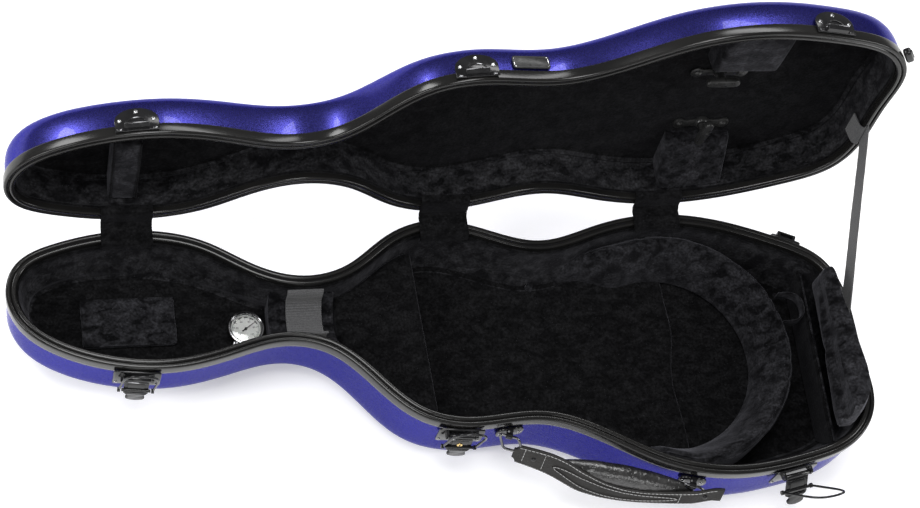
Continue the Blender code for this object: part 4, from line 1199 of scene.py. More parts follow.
def add_hygrometer():
    place = BASE @ Matrix.Translation((-181 * MM, 55 * MM, -50.5 * MM))
    ring = [(13.4, 4.0), (13.7, 7.0), (14.1, 8.2), (15.0, 8.9), (16.0, 8.7), (16.6, 7.8), (16.5, 6.4)]
    ring += [(16.2, 3.2), (15.8, 1.2), (14.6, 0.3), (13.0, 0.3), (13.0, 3.0)]
    bezel = lathe([(r * MM, z * MM) for r, z in ring] + [(13.4 * MM, 4.0 * MM)], 96)
    tab = prism(corner_points(
        ((-22.5 * MM, -4 * MM), (-13 * MM, -4 * MM), (-13 * MM, 4 * MM), (-22.5 * MM, 4 * MM)), 1.5 * MM
    ),
                1.0 * MM, 2.6 * MM, 0.4 * MM)
    tab.transform(Matrix.Rotation(math.radians(58), 4, "Z"))
    piece("hygrometer_bezel", joined(bezel, tab), CHROME, "base", place, ("hygrometer_case",), 35)
    dial = lathe([(0, 3.3 * MM), (13.6 * MM, 3.3 * MM), (13.6 * MM, 4.0 * MM), (0, 4.0 * MM)], 72)
    piece("hygrometer_face", dial, DIAL, "base", place, ("hygrometer_dial",))
    marks = []
    for k in range(51):
        t = math.radians(225 - 270 * k / 50)
        long = k % 5 == 0
        mark = box(
            (9.6 * MM if long else 10.8 * MM, -0.11 * MM, 4.0 * MM), (12.2 * MM, 0.11 * MM, 4.12 * MM), 0
        )
        if long:
            mark.transform(Matrix.Diagonal((1, 2.0, 1, 1)))
        mark.transform(Matrix.Rotation(t, 4, "Z"))
        marks.append(mark)
    arc = [(
        12.5 * MM * math.cos(t), 12.5 * MM * math.sin(t), 4.1 * MM
    ) for t in [math.radians(225 - 270 * k / 60) for k in range(61)]]
    marks.append(tube(arc, 0.14 * MM, 6))
    bars = []
    for start in (150, 120, 92, 66, 40):  # comfort zones printed as thick dashes round the top
        turn = [math.radians(start - 3 * k) for k in range(6)]
        bars.append(tube(
            [(11.6 * MM * math.cos(t), 11.6 * MM * math.sin(t), 4.05 * MM) for t in turn], 0.45 * MM, 6
        ))
    piece("hygrometer_marks", joined(*marks, *bars), INK, "base", place)
    for k, number in enumerate(("0", "20", "40", "60", "80", "100")):
        t = math.radians(225 - 54 * k)
        curve = bpy.data.curves.new(f"dial_number_{k}", "FONT")
        curve.body = number
        curve.size = 2.5 * MM
        curve.align_x = "CENTER"
        curve.align_y = "CENTER"
        curve.extrude = 0.05 * MM
        text = bpy.data.objects.new(f"dial_number_{k}", curve)
        bpy.context.scene.collection.objects.link(text)
        text.data.materials.append(INK)
        text.matrix_world = place @ Matrix.Translation(
            (7.8 * MM * math.cos(t), 7.8 * MM * math.sin(t), 4.08 * MM)
        )
        settled(text, "base")
    pointer = place @ Matrix.Rotation(math.radians(35), 4, "Z")
    blade = [(-4.0, -0.7), (-1.0, -0.5), (10.6, -0.12), (10.6, 0.12), (-1.0, 0.5), (-4.0, 0.7)]
    needle = prism([(x * MM, y * MM) for x, y in blade], 5.0 * MM, 5.3 * MM)
    hub = lathe(
        [(0, 4.2 * MM), (1.3 * MM, 4.2 * MM), (1.3 * MM, 5.7 * MM), (0.8 * MM, 6.1 * MM), (0, 6.2 * MM)], 24
    )
    piece("hygrometer_pointer_blade", joined(needle, hub), ENAMEL, "hygrometer_pointer",
          pointer,
          ("hygrometer_needle",))
    lens = lathe([
        (0, 6.9 * MM), (9 * MM, 6.7 * MM), (13.4 * MM, 6.2 * MM), (13.4 * MM, 6.9 * MM), (9 * MM, 7.4 * MM),
        (0, 7.7 * MM)
    ], 72)
    piece("hygrometer_glass", lens, GLASS, "base", place, ("hygrometer_lens",), 60)


# ---------------------------------------------------------------- covers and stay, across the hinge line

def add_hinge_cover(number, x):
    slack = 0.4 * MM
    half = 23 * MM
    ends = [wall_frame((x * MM - half) / MM, 1), wall_frame((x * MM + half) / MM, 1)]
    inner = min(end.translation.y for end in ends) - RIM_INNER - 1 * MM
    bends = (
        (inner - 2.4 * MM, -7 * MM), (
            inner - 1.7 * MM, -3 * MM
        ), (inner + 1 * MM, slack + 0.3 * MM), (134 * MM, slack + 0.2 * MM), (139 * MM, slack + 0.3 * MM),
        (141.2 * MM, 2.8 * MM), lid_point(138 * MM, -slack), lid_point(133 * MM, -slack),
        lid_point(
            inner - 0.5 * MM, -slack
        ), lid_point(inner - 2.4 * MM, 2 * MM), lid_point(inner - 2.8 * MM, 6 * MM),
    )
    path = smooth_path([(x * MM, y, z) for y, z in bends], 90)
    made = strip(path, (1, 0, 0), 2 * half, 0.9 * MM, edge=0.5)
    bmesh.ops.subdivide_edges(
        made, edges=[e for e in made.edges if e.calc_length() > 15 * MM], cuts=7, use_grid_fill=True
    )
    for vertex in made.verts:
        vertex.co.z += 0.35 * MM * noise.noise(vertex.co * 60)
    obj = object_from(f"hinge_cover_{number}_velvet", made, VELVET, BASE, 60)
    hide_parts(f"hinge_cover_{number}")
    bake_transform(obj)


def add_stay():
    """Webbing stay: up the wide end's inside, over both rims' inner edges, and taut between them."""
    half = 14 * MM
    ends = []
    for side in (-1, 1):
        low_y = 40 * MM + side * half
        high_y = 30 * MM + side * (half - 1.5 * MM)
        bends = [
            (
                378.0 * MM, low_y - 1 * MM, -30 * MM
            ), (379.0 * MM, low_y, -12 * MM), (380.6 * MM, low_y, -2.5 * MM),
            (384.5 * MM, low_y, 0.9 * MM), (386.8 * MM, low_y + 0.05 * MM, 5 * MM),
        ]
        high = lid_point(high_y, -3 * MM)
        bends.append((386.8 * MM, low_y + (high[0] - low_y) * 0.5, high[1] * 0.5 + 2 * MM))
        for x, y, z in (
            (386.8, high_y, -3), (384.0, high_y, -0.6), (380.4, high_y, 2.5), (379.0, high_y, 9),
            (378.4, high_y, 17)
        ):
            bends.append((x * MM, *lid_point(y, z * MM)))
        ends.append(smooth_path(bends, 120))
    middle = [(a + b) / 2 for a, b in zip(*ends)]
    travel = 0.0
    top = []
    bottom = []
    for k, (a, b) in enumerate(zip(*ends)):
        if k:
            travel += (middle[k] - middle[k - 1]).length
        along = (middle[min(k + 1, len(middle) - 1)] - middle[max(k - 1, 0)]).normalized()
        across = (b - a).normalized()
        up = across.cross(along).normalized()
        line_top = []
        line_bottom = []
        for j in range(17):
            v = j / 16
            weave = 0.12 * MM * math.cos(math.tau * travel / (1.7 * MM)) * (1 if j % 2 else -1)
            selvedge = 0.25 * MM if j in (1, 15) else 0.0
            p = a.lerp(b, v)
            line_top.append(p + up * (0.7 * MM + weave + selvedge))
            line_bottom.append(p - up * (0.5 * MM + weave))
        top.append(line_top)
        bottom.append(line_bottom)
    made = grid_solid(top, bottom)
    obj = object_from("lid_stay_webbing", made, WEBBING, BASE, 60)
    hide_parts("stay_strap")
    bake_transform(obj)


# ---------------------------------------------------------------- latches, catches and small hardware

LATCHES = ((-285, 10.0, 3.0, 4.0), (0, 10.0, 3.0, 6.0), (307, 33.0, 35.0, 20.0))  # x, lever, bail, lean in mm
LEVER_PIVOT = Vector((0, 6 * MM, -12 * MM))
BAIL_PIVOT = Vector((0, 1.6 * MM, -16 * MM))
STEEL_SCREW = 1.9 * MM
FACING = Matrix.Rotation(math.radians(-90), 4, "X")  # turns +Z to face out of a wall frame


def rounded_plate(corners, radius, low, high, bevel=0.5 * MM):
    """A plate standing on a wall: corners are (x, z) in mm; low and high are its y in metres."""
    outline = corner_points(corners, radius)
    made = prism([(x * MM, z * MM) for x, z in outline], low, high, bevel, 2)
    made.transform(Matrix(((1, 0, 0, 0), (0, 0, 1, 0), (0, 1, 0, 0), (0, 0, 0, 1))))
    return made


def wall_screws(places, out, radius=STEEL_SCREW):
    """Cross-head screws facing out of a wall at (x, z) in mm, standing on the surface at y = out."""
    parts = []
    for x, z in places:
        place = Matrix.Translation((x * MM, out, z * MM)) @ FACING
        dome = [(
            radius * math.cos(t), 0.5 * radius * math.sin(t)
        ) for t in [math.pi / 2 * k / 5 for k in range(5)]]
        parts.append(lathe(
            [(0.2 * radius, -0.3 * radius), (radius, -0.3 * radius), *dome, (0, 0.5 * radius)], 24, place
        ))
        for turn in (0.6, 0.6 + math.pi / 2):
            bar = box(
                (-0.6 * radius, -0.1 * radius, 0.36 * radius), (0.6 * radius, 0.1 * radius, 0.56 * radius)
            )
            bar.transform(place @ Matrix.Rotation(turn, 4, "Z"))
            parts.append(bar)
    return joined(*parts)


def add_latch(number, x, lever_deg, bail_deg, lean):
    wall = BASE @ wall_frame(x, -1)
    plate = rounded_plate(((-21, -34), (21, -34), (21, -6), (-21, -6)), 3.0, 0.5 * MM, 2.3 * MM)
    boss = box((-13 * MM, -0.9 * MM, -32 * MM), (13 * MM, 1.5 * MM, -14.6 * MM))
    parts = [plate, boss]
    for s in (-13.6 * MM, 13.6 * MM):
        ear = [(-16, 1.5), (-8, 1.5), (-8.0, 6.0), (-9.6, 8.0), (-13.6, 8.4), (-16, 5.4)]
        made = prism([(z * MM, y * MM) for z, y in ear], s - 1.2 * MM, s + 1.2 * MM, 0.3 * MM, 1)
        made.transform(Matrix(((0, 0, 1, 0), (0, 1, 0, 0), (1, 0, 0, 0), (0, 0, 0, 1))))
        parts.append(made)
    piece(
        f"latch_{number}_backplate", joined(*parts), ENAMEL, "base", wall,
        (f"latch_{number}_plate",)
    )
    piece(
        f"latch_{number}_screws", wall_screws(((-18, -30.5), (18, -30.5)), 2.3 * MM, 1.6 * MM), CHROME,
        "base", wall
    )
    lever = wall @ Matrix.Translation(LEVER_PIVOT) @ Matrix.Rotation(math.radians(lever_deg), 4, "X")
    body = f"latch_{number}_lever"
    add_lever(number, body, lever)
    turn = Matrix.Rotation(math.radians(-(lever_deg + bail_deg)), 4, "X")
    add_bail(number, lean, lever @ Matrix.Translation(BAIL_PIVOT) @ turn)


def add_lever(number, body, place):
    """Lever: a pressed channel with bright edges, a barrel at its pivot and a waisted thumb tab."""
    arm = rounded_plate(
        ((-11, -23.5), (11, -23.5), (11, -0.6), (-11, -0.6)), 2.0, -1.2 * MM, 1.0 * MM, 0.4 * MM
    )
    dish = rounded_plate(
        ((-7.5, -19.5), (7.5, -19.5), (7.5, -5.5), (-7.5, -5.5)), 2.0, 0.8 * MM, 1.5 * MM, 0.5 * MM
    )
    barrel = lathe([
        (0, -12 * MM), (1.9 * MM, -12 * MM), (2.2 * MM, -11.6 * MM), (2.2 * MM, 11.6 * MM),
        (1.9 * MM, 12 * MM), (0, 12 * MM)
    ],
                   24, Matrix.Rotation(math.radians(90), 4, "Y"))
    tab = smooth_path([(x * MM, y * MM, 0) for x, y in (
        (-8.8, 0), (8.8, 0), (6.6, 3.5), (8.6, 7.5), (7, 11), (0, 13), (-7, 11), (-8.6, 7.5), (-6.6, 3.5)
    )],
                      54, closed=True)
    thumb = prism([(p.x, p.y) for p in tab], -1.1 * MM, 1.1 * MM, 0.5 * MM, 2)
    thumb.transform(Matrix.Translation((0, 0.8 * MM, -22 * MM)) @ Matrix.Rotation(math.radians(-96), 4, "X"))
    trunnion = lathe([(0, -12.8 * MM), (1.5 * MM, -12.8 * MM), (1.5 * MM, 12.8 * MM), (0, 12.8 * MM)], 16,
                     Matrix.Translation((0, *BAIL_PIVOT[1:])) @ Matrix.Rotation(math.radians(90), 4, "Y"))
    made = joined(arm, dish, barrel, thumb, trunnion)
    piece(f"latch_{number}_lever_arm", made, ENAMEL, body, place, (f"latch_{number}_lever",))
    edges = []
    for z in (-4.2, -21.0):
        edges.append(tube(
            [(-9.6 * MM, 1.25 * MM, z * MM), (0, 1.35 * MM, z * MM), (9.6 * MM, 1.25 * MM, z * MM)],
            0.5 * MM, 8
        ))
    piece(f"latch_{number}_lever_trim", joined(*edges), STEEL, body, place)
    if number == 2:
        rose = lathe([(0, 0), (2.7 * MM, 0), (2.7 * MM, 0.6 * MM), (2.2 * MM, 1.0 * MM), (0, 1.1 * MM)], 32,
                     Matrix.Translation((0, 1.4 * MM, -12.5 * MM)) @ FACING)
        piece("latch_2_key_rose", rose, BRASS, body, place)
        slot = box((-0.35 * MM, 2.4 * MM, -14.0 * MM), (0.35 * MM, 2.62 * MM, -11.2 * MM))
        eye = lathe([(0, 0), (0.75 * MM, 0), (0.75 * MM, 0.2 * MM), (0, 0.2 * MM)], 16,
                    Matrix.Translation((0, 2.42 * MM, -11.4 * MM)) @ FACING)
        piece("latch_2_keyhole", joined(slot, eye), INK, body, place)


def add_bail(number, lean, place):
    """Sprung wire bail with a slightly peaked crossbar."""
    side = 14.9
    top = 38.0
    shape = [
        (-side, 0), (-side, 10), (-side, 22), (-side + 0.6, top - 9), (-side + 3.2, top - 3.4),
        (-side + 8, top - 0.6)
    ]
    path = [((x + lean * z / top) * MM, 0, z * MM) for x, z in shape]
    path.append((lean * MM, 0, (top + 0.35) * MM))
    path += [((-x + lean * z / top) * MM, 0, z * MM) for x, z in reversed(shape)]
    made = joined(
        tube(smooth_path(path, 110), 1.1 * MM, 12),
        *[lathe([(0, -1.5 * MM), (2.2 * MM, -1.5 * MM), (2.2 * MM, 1.0 * MM), (0, 1.0 * MM)], 20,
                Matrix.Translation((s * MM, 0, 0)) @ Matrix.Rotation(
                    math.radians(90), 4, "Y"
                )) for s in (-side, side)],
    )
    piece(
        f"latch_{number}_bail_wire", made, ENAMEL, f"latch_{number}_bail", place,
        (f"latch_{number}_bail",)
    )


def add_catch(number, x):
    """D-shaped catch plate: flat at the rim, arched above, with three screws and a bright hooked bar."""
    wall = LID @ wall_frame(x, -1)
    arch = [(-19, 3)] + [
        (19 * math.cos(t), 13 + 13 * math.sin(t)) for t in [math.pi - math.pi * k / 20 for k in range(21)]
    ] + [(19, 3)]
    plate = prism([(a * MM, b * MM) for a, b in arch], 0.5 * MM, 2.3 * MM, 0.45 * MM, 2)
    plate.transform(Matrix(((1, 0, 0, 0), (0, 0, 1, 0), (0, 1, 0, 0), (0, 0, 0, 1))))
    boss = box((-13 * MM, -0.9 * MM, 11.6 * MM), (13 * MM, 1.5 * MM, 21 * MM))
    hood = [(9.6 * math.cos(t), 7.5 + 8.6 * math.sin(t)) for t in [math.pi * k / 24 for k in range(25)]]
    lip = prism([
        (a * MM, b * MM) for a,
        b in ((1.5, 3.2), (6.4, 3.2), (7.2, 7.3), (6.4, 8.2), (5.4, 5.4), (1.5, 5.2))
    ],
                -10.5 * MM, 10.5 * MM, 0.3 * MM, 1)
    lip.transform(Matrix(((0, 0, 1, 0), (1, 0, 0, 0), (0, 1, 0, 0), (0, 0, 0, 1))))
    piece(
        f"catch_{number}_plate", joined(plate, boss, lip), ENAMEL, "lid", wall,
        (f"catch_{number}",)
    )
    rim_line = tube([(a * MM, 2.5 * MM, b * MM) for a, b in hood], 0.55 * MM, 8)
    bar = tube(
        [(-10 * MM, 6.9 * MM, 7.4 * MM), (0, 7.1 * MM, 7.5 * MM), (10 * MM, 6.9 * MM, 7.4 * MM)], 0.75 * MM,
        10
    )
    tabs = [rounded_plate(
        ((s - 2, 3.4), (s + 2, 3.4), (s + 2, 5.6), (s - 2, 5.6)), 0.5, 2.0 * MM, 2.9 * MM, 0.2 * MM
    ) for s in (-15, 15)]
    piece(f"catch_{number}_bright", joined(rim_line, bar, *tabs), STEEL, "lid", wall)
    piece(
        f"catch_{number}_screws", wall_screws(((0, 22), (-14.4, 13.5), (14.4, 13.5)), 2.3 * MM), CHROME,
        "lid", wall
    )


def add_nameplate():
    """Blank oval-cornered badge with a fine raised border."""
    wall = LID @ wall_frame(49, -1)
    plate = rounded_plate(((-17, 13), (17, 13), (17, 26), (-17, 26)), 2.5, -0.4 * MM, 1.0 * MM, 0.4 * MM)
    piece("badge_plate", plate, PLASTIC, "lid", wall, ("nameplate",))
    path = [
        (a * MM, 1.0 * MM, b * MM) for a,
        b in corner_points(((-15.6, 14.3), (15.6, 14.3), (15.6, 24.7), (-15.6, 24.7)), 2.0)
    ]
    piece("badge_border", tube(path, 0.35 * MM, 8, closed=True), CHROME, "lid", wall)


def add_lid_end_tab():
    wall = LID @ wall_frame(388, -1)
    made = box((-8 * MM, 0.4 * MM, 3 * MM), (8 * MM, 7.8 * MM, 11 * MM), bevel=2.4 * MM, segments=4)
    groove = tube([(-6 * MM, 7.9 * MM, 7 * MM), (6 * MM, 7.9 * MM, 7 * MM)], 0.7 * MM, 8)
    piece("lid_end_block", joined(made, groove), ENAMEL, "lid", wall, ("lid_end_tab",))


def add_rear_bracket():
    wall = BASE @ wall_frame(340, 1)
    plate = rounded_plate(((-15, -22), (15, -22), (15, -2), (-15, -2)), 3, 0.5 * MM, 2.6 * MM, 0.5 * MM)
    sides = [box(
        (s - 1.5 * MM, 2.0 * MM, -14 * MM), (s + 1.5 * MM, 7.6 * MM, -3 * MM), 0.6 * MM
    ) for s in (-7.5 * MM, 7.5 * MM)]
    bridge = box((-9 * MM, 6.3 * MM, -14 * MM), (9 * MM, 8 * MM, -3 * MM), 0.7 * MM, 2)
    piece(
        "rear_bracket_bridge", joined(plate, bridge, *sides), ENAMEL, "base", wall,
        ("rear_strap_bracket",)
    )
    piece(
        "rear_bracket_screws", wall_screws(((-12, -18.5), (12, -18.5)), 2.6 * MM, 1.6 * MM), CHROME,
        "base", wall
    )


# ---------------------------------------------------------------- carrying handle

HANDLE_X = (46, 211)
HANDLE_DROP_DEG = 65.0
HANDLE_OUT = 8 * MM
HANDLE_DOWN = 18 * MM
LOOP_REACH = (16 * MM, 10 * MM)
LOOP_SLIDE = (8 * MM, 14 * MM)


def handle_places():
    ends = [wall_frame(x, -1).translation for x in HANDLE_X]
    along = (ends[1] - ends[0]).normalized()
    out = Vector((along.y, -along.x, 0))
    turned = Matrix((along, out, Vector((0, 0, 1)))).transposed().to_4x4()
    middle = (ends[0] + ends[1]) / 2
    axis = Matrix.Translation(middle + out * HANDLE_OUT - Vector((0, 0, HANDLE_DOWN))) @ turned
    return axis, (ends[1] - ends[0]).length / 2


def add_handle():
    axis, span = handle_places()
    swing = BASE @ axis @ Matrix.Rotation(math.radians(-HANDLE_DROP_DEG), 4, "X")
    bars = []
    for name, side, x, reach, slide in zip("ab", (-1, 1), HANDLE_X, LOOP_REACH, LOOP_SLIDE):
        add_handle_bracket(name, x, axis, side * span)
        path = loop_path(side * span, 9 * MM, reach, slide)
        made = tube(path, 1.3 * MM, 14, closed=True)
        piece(f"handle_ring_{name}", made, STEEL, "handle", swing, (f"handle_loop_{name}",))
        bars.append(Vector((side * span + slide, reach, 0)))
    add_grip(bars, swing)


def loop_path(x, half, reach, slide):
    radius = 3 * MM
    path = []
    for k, (a, b) in enumerate(((-half, 0), (half, 0), (half, reach), (-half, reach))):
        for n in range(7):
            angle = math.radians(-180 + 90 * k + 15 * n)
            across = a - math.copysign(radius, a) + radius * math.cos(angle)
            y = b + (radius if b == 0 else -radius) + radius * math.sin(angle)
            path.append((x + across + slide * y / reach, y, 0))
    return path


def add_handle_bracket(name, x, axis, along):
    to_axis = axis.inverted() @ wall_frame(x, -1)
    foot = to_axis.translation.y
    bore = 1.9 * MM
    sleeve = lathe([
        (bore, -3 * MM), (2.7 * MM, -3 * MM), (3.0 * MM, -2.7 * MM), (3.0 * MM, 2.7 * MM),
        (2.7 * MM, 3 * MM), (bore, 3 * MM), (bore, -3 * MM)
    ],
                   24, Matrix.Translation((along, 0, 0)) @ Matrix.Rotation(math.radians(90), 4, "Y"))
    arm = box((along - 2.8 * MM, foot, -2.6 * MM), (along + 2.8 * MM, -2.2 * MM, 2.6 * MM), 0.6 * MM)
    lobes = [
        (-13, -25), (-11.5, -31.5), (-6, -33.8), (0, -32.0), (6, -33.8), (11.5, -31.5), (13, -25),
        (11.5, -18.5), (6, -16.2), (0, -18), (-6, -16.2), (-11.5, -18.5)
    ]
    outline = smooth_path([(a * MM, b * MM, 0) for a, b in lobes], 60, closed=True)
    pad = prism([(p.x, p.y) for p in outline], -0.8 * MM, 1.8 * MM, 0.5 * MM, 2)
    pad.transform(to_axis @ Matrix(((1, 0, 0, 0), (0, 0, 1, 0), (0, 1, 0, 0), (0, 0, 0, 1))))
    piece(
        f"handle_lug_{name}", joined(sleeve, arm, pad), ENAMEL, "base", BASE @ axis,
        (f"handle_bracket_{name}",)
    )
    screws = wall_screws(((-9, -25), (9, -25)), 1.8 * MM, 1.9 * MM)
    piece(f"handle_lug_{name}_screws", screws, CHROME, "base", BASE @ wall_frame(x, -1))


GRIP_SPAN = (0.2, 0.87)  # shares of the grip's length between which the padded roll lies
STRAP_STATIONS = (
    (0, 0, 10), (0.12, 3, 11.5), (0.26, 8.3, 13.2), (0.354, 14, 12.4), (0.45, 18.4, 10), (0.55, 19.4, 8.2),
    (0.645, 17.3, 7.4), (0.79, 10.4, 7.4), (0.89, 4.6, 7.6), (1, 0, 7.6),
)  # (share of the length, sag, half width) in mm


def grip_line(bars, share):
    """The straight line between the grip's two ends, in the handle's frame."""
    past = Vector((9 * MM, 0, 0))
    first = bars[0] - past + Vector((10 * MM, 1.5 * MM, 0))
    last = bars[1] + past + Vector((6 * MM, -9 * MM, 0))
    return first.lerp(last, share)


def strap_at(bars, share):
    """Middle and half width of the strap; it bows outwards where it passes over the roll."""
    places, sags, widths = zip(*STRAP_STATIONS)
    fine = [interpolated(share, places, values) for values in (sags, widths)]
    lift = 5.5 * smooth(share, 0.16, 0.36) * (1 - smooth(share, 0.86, 0.98))
    return grip_line(bars, share) + Vector((0, fine[0], lift)) * MM, fine[1] * MM


def interpolated(share, places, values, reach=0.03):
    """Table lookup, averaged over a short reach so that the curve has no corners."""
    return float(np.mean(
        [np.interp(min(max(share + d, 0), 1), places, values) for d in np.linspace(-reach, reach, 7)]
    ))


def add_grip(bars, swing):
    """Leather grip: a flat sewn strap that dips below and in front of a pebbled, padded roll."""
    low, high = GRIP_SPAN
    rings = []
    for k in range(91):
        share = low + (high - low) * k / 90
        swell = math.sin(math.pi * min(max((share - low) / (high - low), 0.001), 0.999)) ** 0.45
        middle = grip_line(bars, share) + Vector((0, 4.4 * MM, -1.6 * MM))
        ring = []
        for n in range(36):
            t = math.tau * n / 36
            p = middle + Vector((0, 12.8 * MM * swell * math.cos(t), 8.2 * MM * swell * math.sin(t)))
            p += Vector((0, 0.5 * MM * noise.noise(p * 60), 0.35 * MM * noise.noise(p * 90)))
            ring.append(p)
        rings.append(ring)
    roll = piece(
        "handle_grip_roll", from_rings(rings), PEBBLED, "handle", swing, ("handle_grip",), 70
    )
    rings = []
    thick = 1.9 * MM
    for k in range(141):
        share = k / 140
        middle, half = strap_at(bars, share)
        ends = math.sqrt(
            min(share / 0.022, 1.0)
        ) * (0.45 + 0.55 * smooth(share, 0.0, 0.02)) if share < 0.022 else 1.0
        ring = []
        for n in range(28):
            t = math.tau * n / 28
            y = math.copysign(abs(math.cos(t)) ** 0.3, math.cos(t))
            z = math.copysign(abs(math.sin(t)) ** 0.45, math.sin(t))
            p = middle + Vector((0, max(ends, 0.55) * half * y, thick * z))
            ring.append(p + Vector((0, 0, 0.25 * MM * noise.noise(p * 80))))
        rings.append(ring)
    piece("handle_grip_strap", from_rings(rings), LEATHER, "handle", swing, smooth_deg=50)
    threads = []
    for side in (-1, 1):
        line = []
        for k in range(3, 138):
            middle, half = strap_at(bars, k / 140)
            line.append(middle + Vector((0, side * (half - 1.5 * MM), thick)))
        threads.append(stitches(line, (0, 0, 0.2 * MM)))
    for share in (0.05, 0.15, 0.81):
        middle, half = strap_at(bars, share)
        threads.append(stitches(
            [middle + Vector((0, s * (half - 2.2 * MM), thick)) for s in (-1, -0.5, 0, 0.5, 1)],
            (0, 0, 0.2 * MM)
        ))
    window = []
    for share, side in [
        (0.2 + 0.6 * k / 60, -1) for k in range(61)
    ] + [(0.8 - 0.6 * k / 60, 1) for k in range(61)]:
        middle, half = strap_at(bars, share)
        open_at = math.sqrt(math.sin(math.pi * min(max((share - 0.2) / 0.6, 0.0), 1.0)))
        window.append(middle + Vector((0, side * 0.5 * half * open_at, thick)))
    welt = tube(smooth_path(window[:-1], 220, closed=True), 0.9 * MM, 8, closed=True)
    piece("handle_grip_welt", welt, LEATHER, "handle", swing)
    threads.append(stitches([p + Vector((0, 0, 0.7 * MM)) for p in window], (0, 0, 0.2 * MM)))
    piece("handle_grip_stitching", joined(*threads), THREAD, "handle", swing)
    rivets = []
    for share in (0.1, 0.92):
        middle = strap_at(bars, share)[0] + Vector((0, 0, thick - 0.2 * MM))
        rivets.append(lathe([
            (0, 0), (2.6 * MM, 0), (2.6 * MM, 0.4 * MM), (1.9 * MM, 1.0 * MM), (0.9 * MM, 1.3 * MM),
            (0, 1.4 * MM)
        ], 28, Matrix.Translation(middle)))
    piece("handle_grip_rivets", joined(*rivets), ENAMEL, "handle", swing)


# ---------------------------------------------------------------- lid furniture

def add_tip_pocket():
    """Flat velvet pocket for the bow tips, open towards the bows, with a bound mouth."""
    columns = 14
    rows = 60
    surfaces = []
    for depth_high in (15.0, 37.6):
        surface = []
        for i in range(columns + 1):
            x = (-302.5 + 25 * i / columns) * MM
            line = []
            for j in range(rows + 1):
                share = z_share("lid", 15 * MM)
                y0, y1 = room_span("lid", share, x)
                y0 = max(y0 + 1.5 * MM, 37 * MM)
                y1 = y1 - 1.5 * MM
                y = y0 + (y1 - y0) * j / rows
                z = depth_high * MM
                if depth_high < 30:
                    near = min(i, columns - i) / columns * 25 * MM
                    z += 3 * MM * crowned(near, 4 * MM) + 2.5 * MM * crowned(
                        min(j, rows - j) / rows * (y1 - y0), 6 * MM
                    )
                    z += 0.7 * MM * noise.noise(Vector((x, y, z)) * 40)
                line.append(Vector((x, y, z)))
            surface.append(line)
        surfaces.append(surface)
    made = grid_solid(surfaces[1], surfaces[0])
    obj = piece("bow_tip_sleeve", made, VELVET_LIT, "lid", LID, ("bow_tip_pocket",), 70)
    for x in (-301.5, -278.5):
        y0, y1 = room_span("lid", z_share("lid", 15 * MM), x * MM)
        y0 = max(y0 + 3 * MM, 39 * MM)
        seam = [(x * MM, y0 + (y1 - 4 * MM - y0) * k / 30, 15.4 * MM) for k in range(31)]
        piece(
            f"bow_tip_binding_{'a' if x < -290 else 'b'}", tube(seam, 1.0 * MM, 8), VELVET, "lid",
            LID
        )
    mouth = box((-279.5 * MM, 52 * MM, 19 * MM), (-276.9 * MM, 110 * MM, 32 * MM), 1.0 * MM)
    piece("bow_tip_mouth", mouth, VELVET, "lid", LID)


def add_frog_block(name, outline, x0, x1):
    """Wedge pad for a bow's frog, wrapped in velvet; outline is (y, z) in mm over the lid's floor."""
    floor = LID_FLOORS[1]
    rows = 60
    columns = 40
    path = smooth_path([(0, y * MM, z * MM) for y, z in outline], rows)
    surfaces = []
    for top in (True, False):
        surface = []
        for i in range(columns + 1):
            x = (x0 + (x1 - x0) * i / columns) * MM
            near = min(i, columns - i) / columns * (x1 - x0) * MM
            line = []
            for p in path:
                y0, y1 = room_span("lid", z_share("lid", max(p.z, 12 * MM)), x)
                y = min(max(p.y, y0 + 1.5 * MM), y1 - 1.5 * MM)
                z = p.z + 4.5 * MM * crowned(near, 6 * MM) if top else floor - 0.4 * MM
                z = min(z, floor - 0.5 * MM) if top else z
                q = Vector((x, y, z))
                if top:
                    q.z += 0.8 * MM * noise.noise(q * 34)
                    q.z = min(q.z, floor - 0.5 * MM)
                line.append(q)
            surface.append(line)
        surfaces.append(surface)
    made = grid_solid(surfaces[1], surfaces[0])
    obj = piece(f"{name}_pad", made, VELVET_LIT, "lid", LID, (name,), 70)


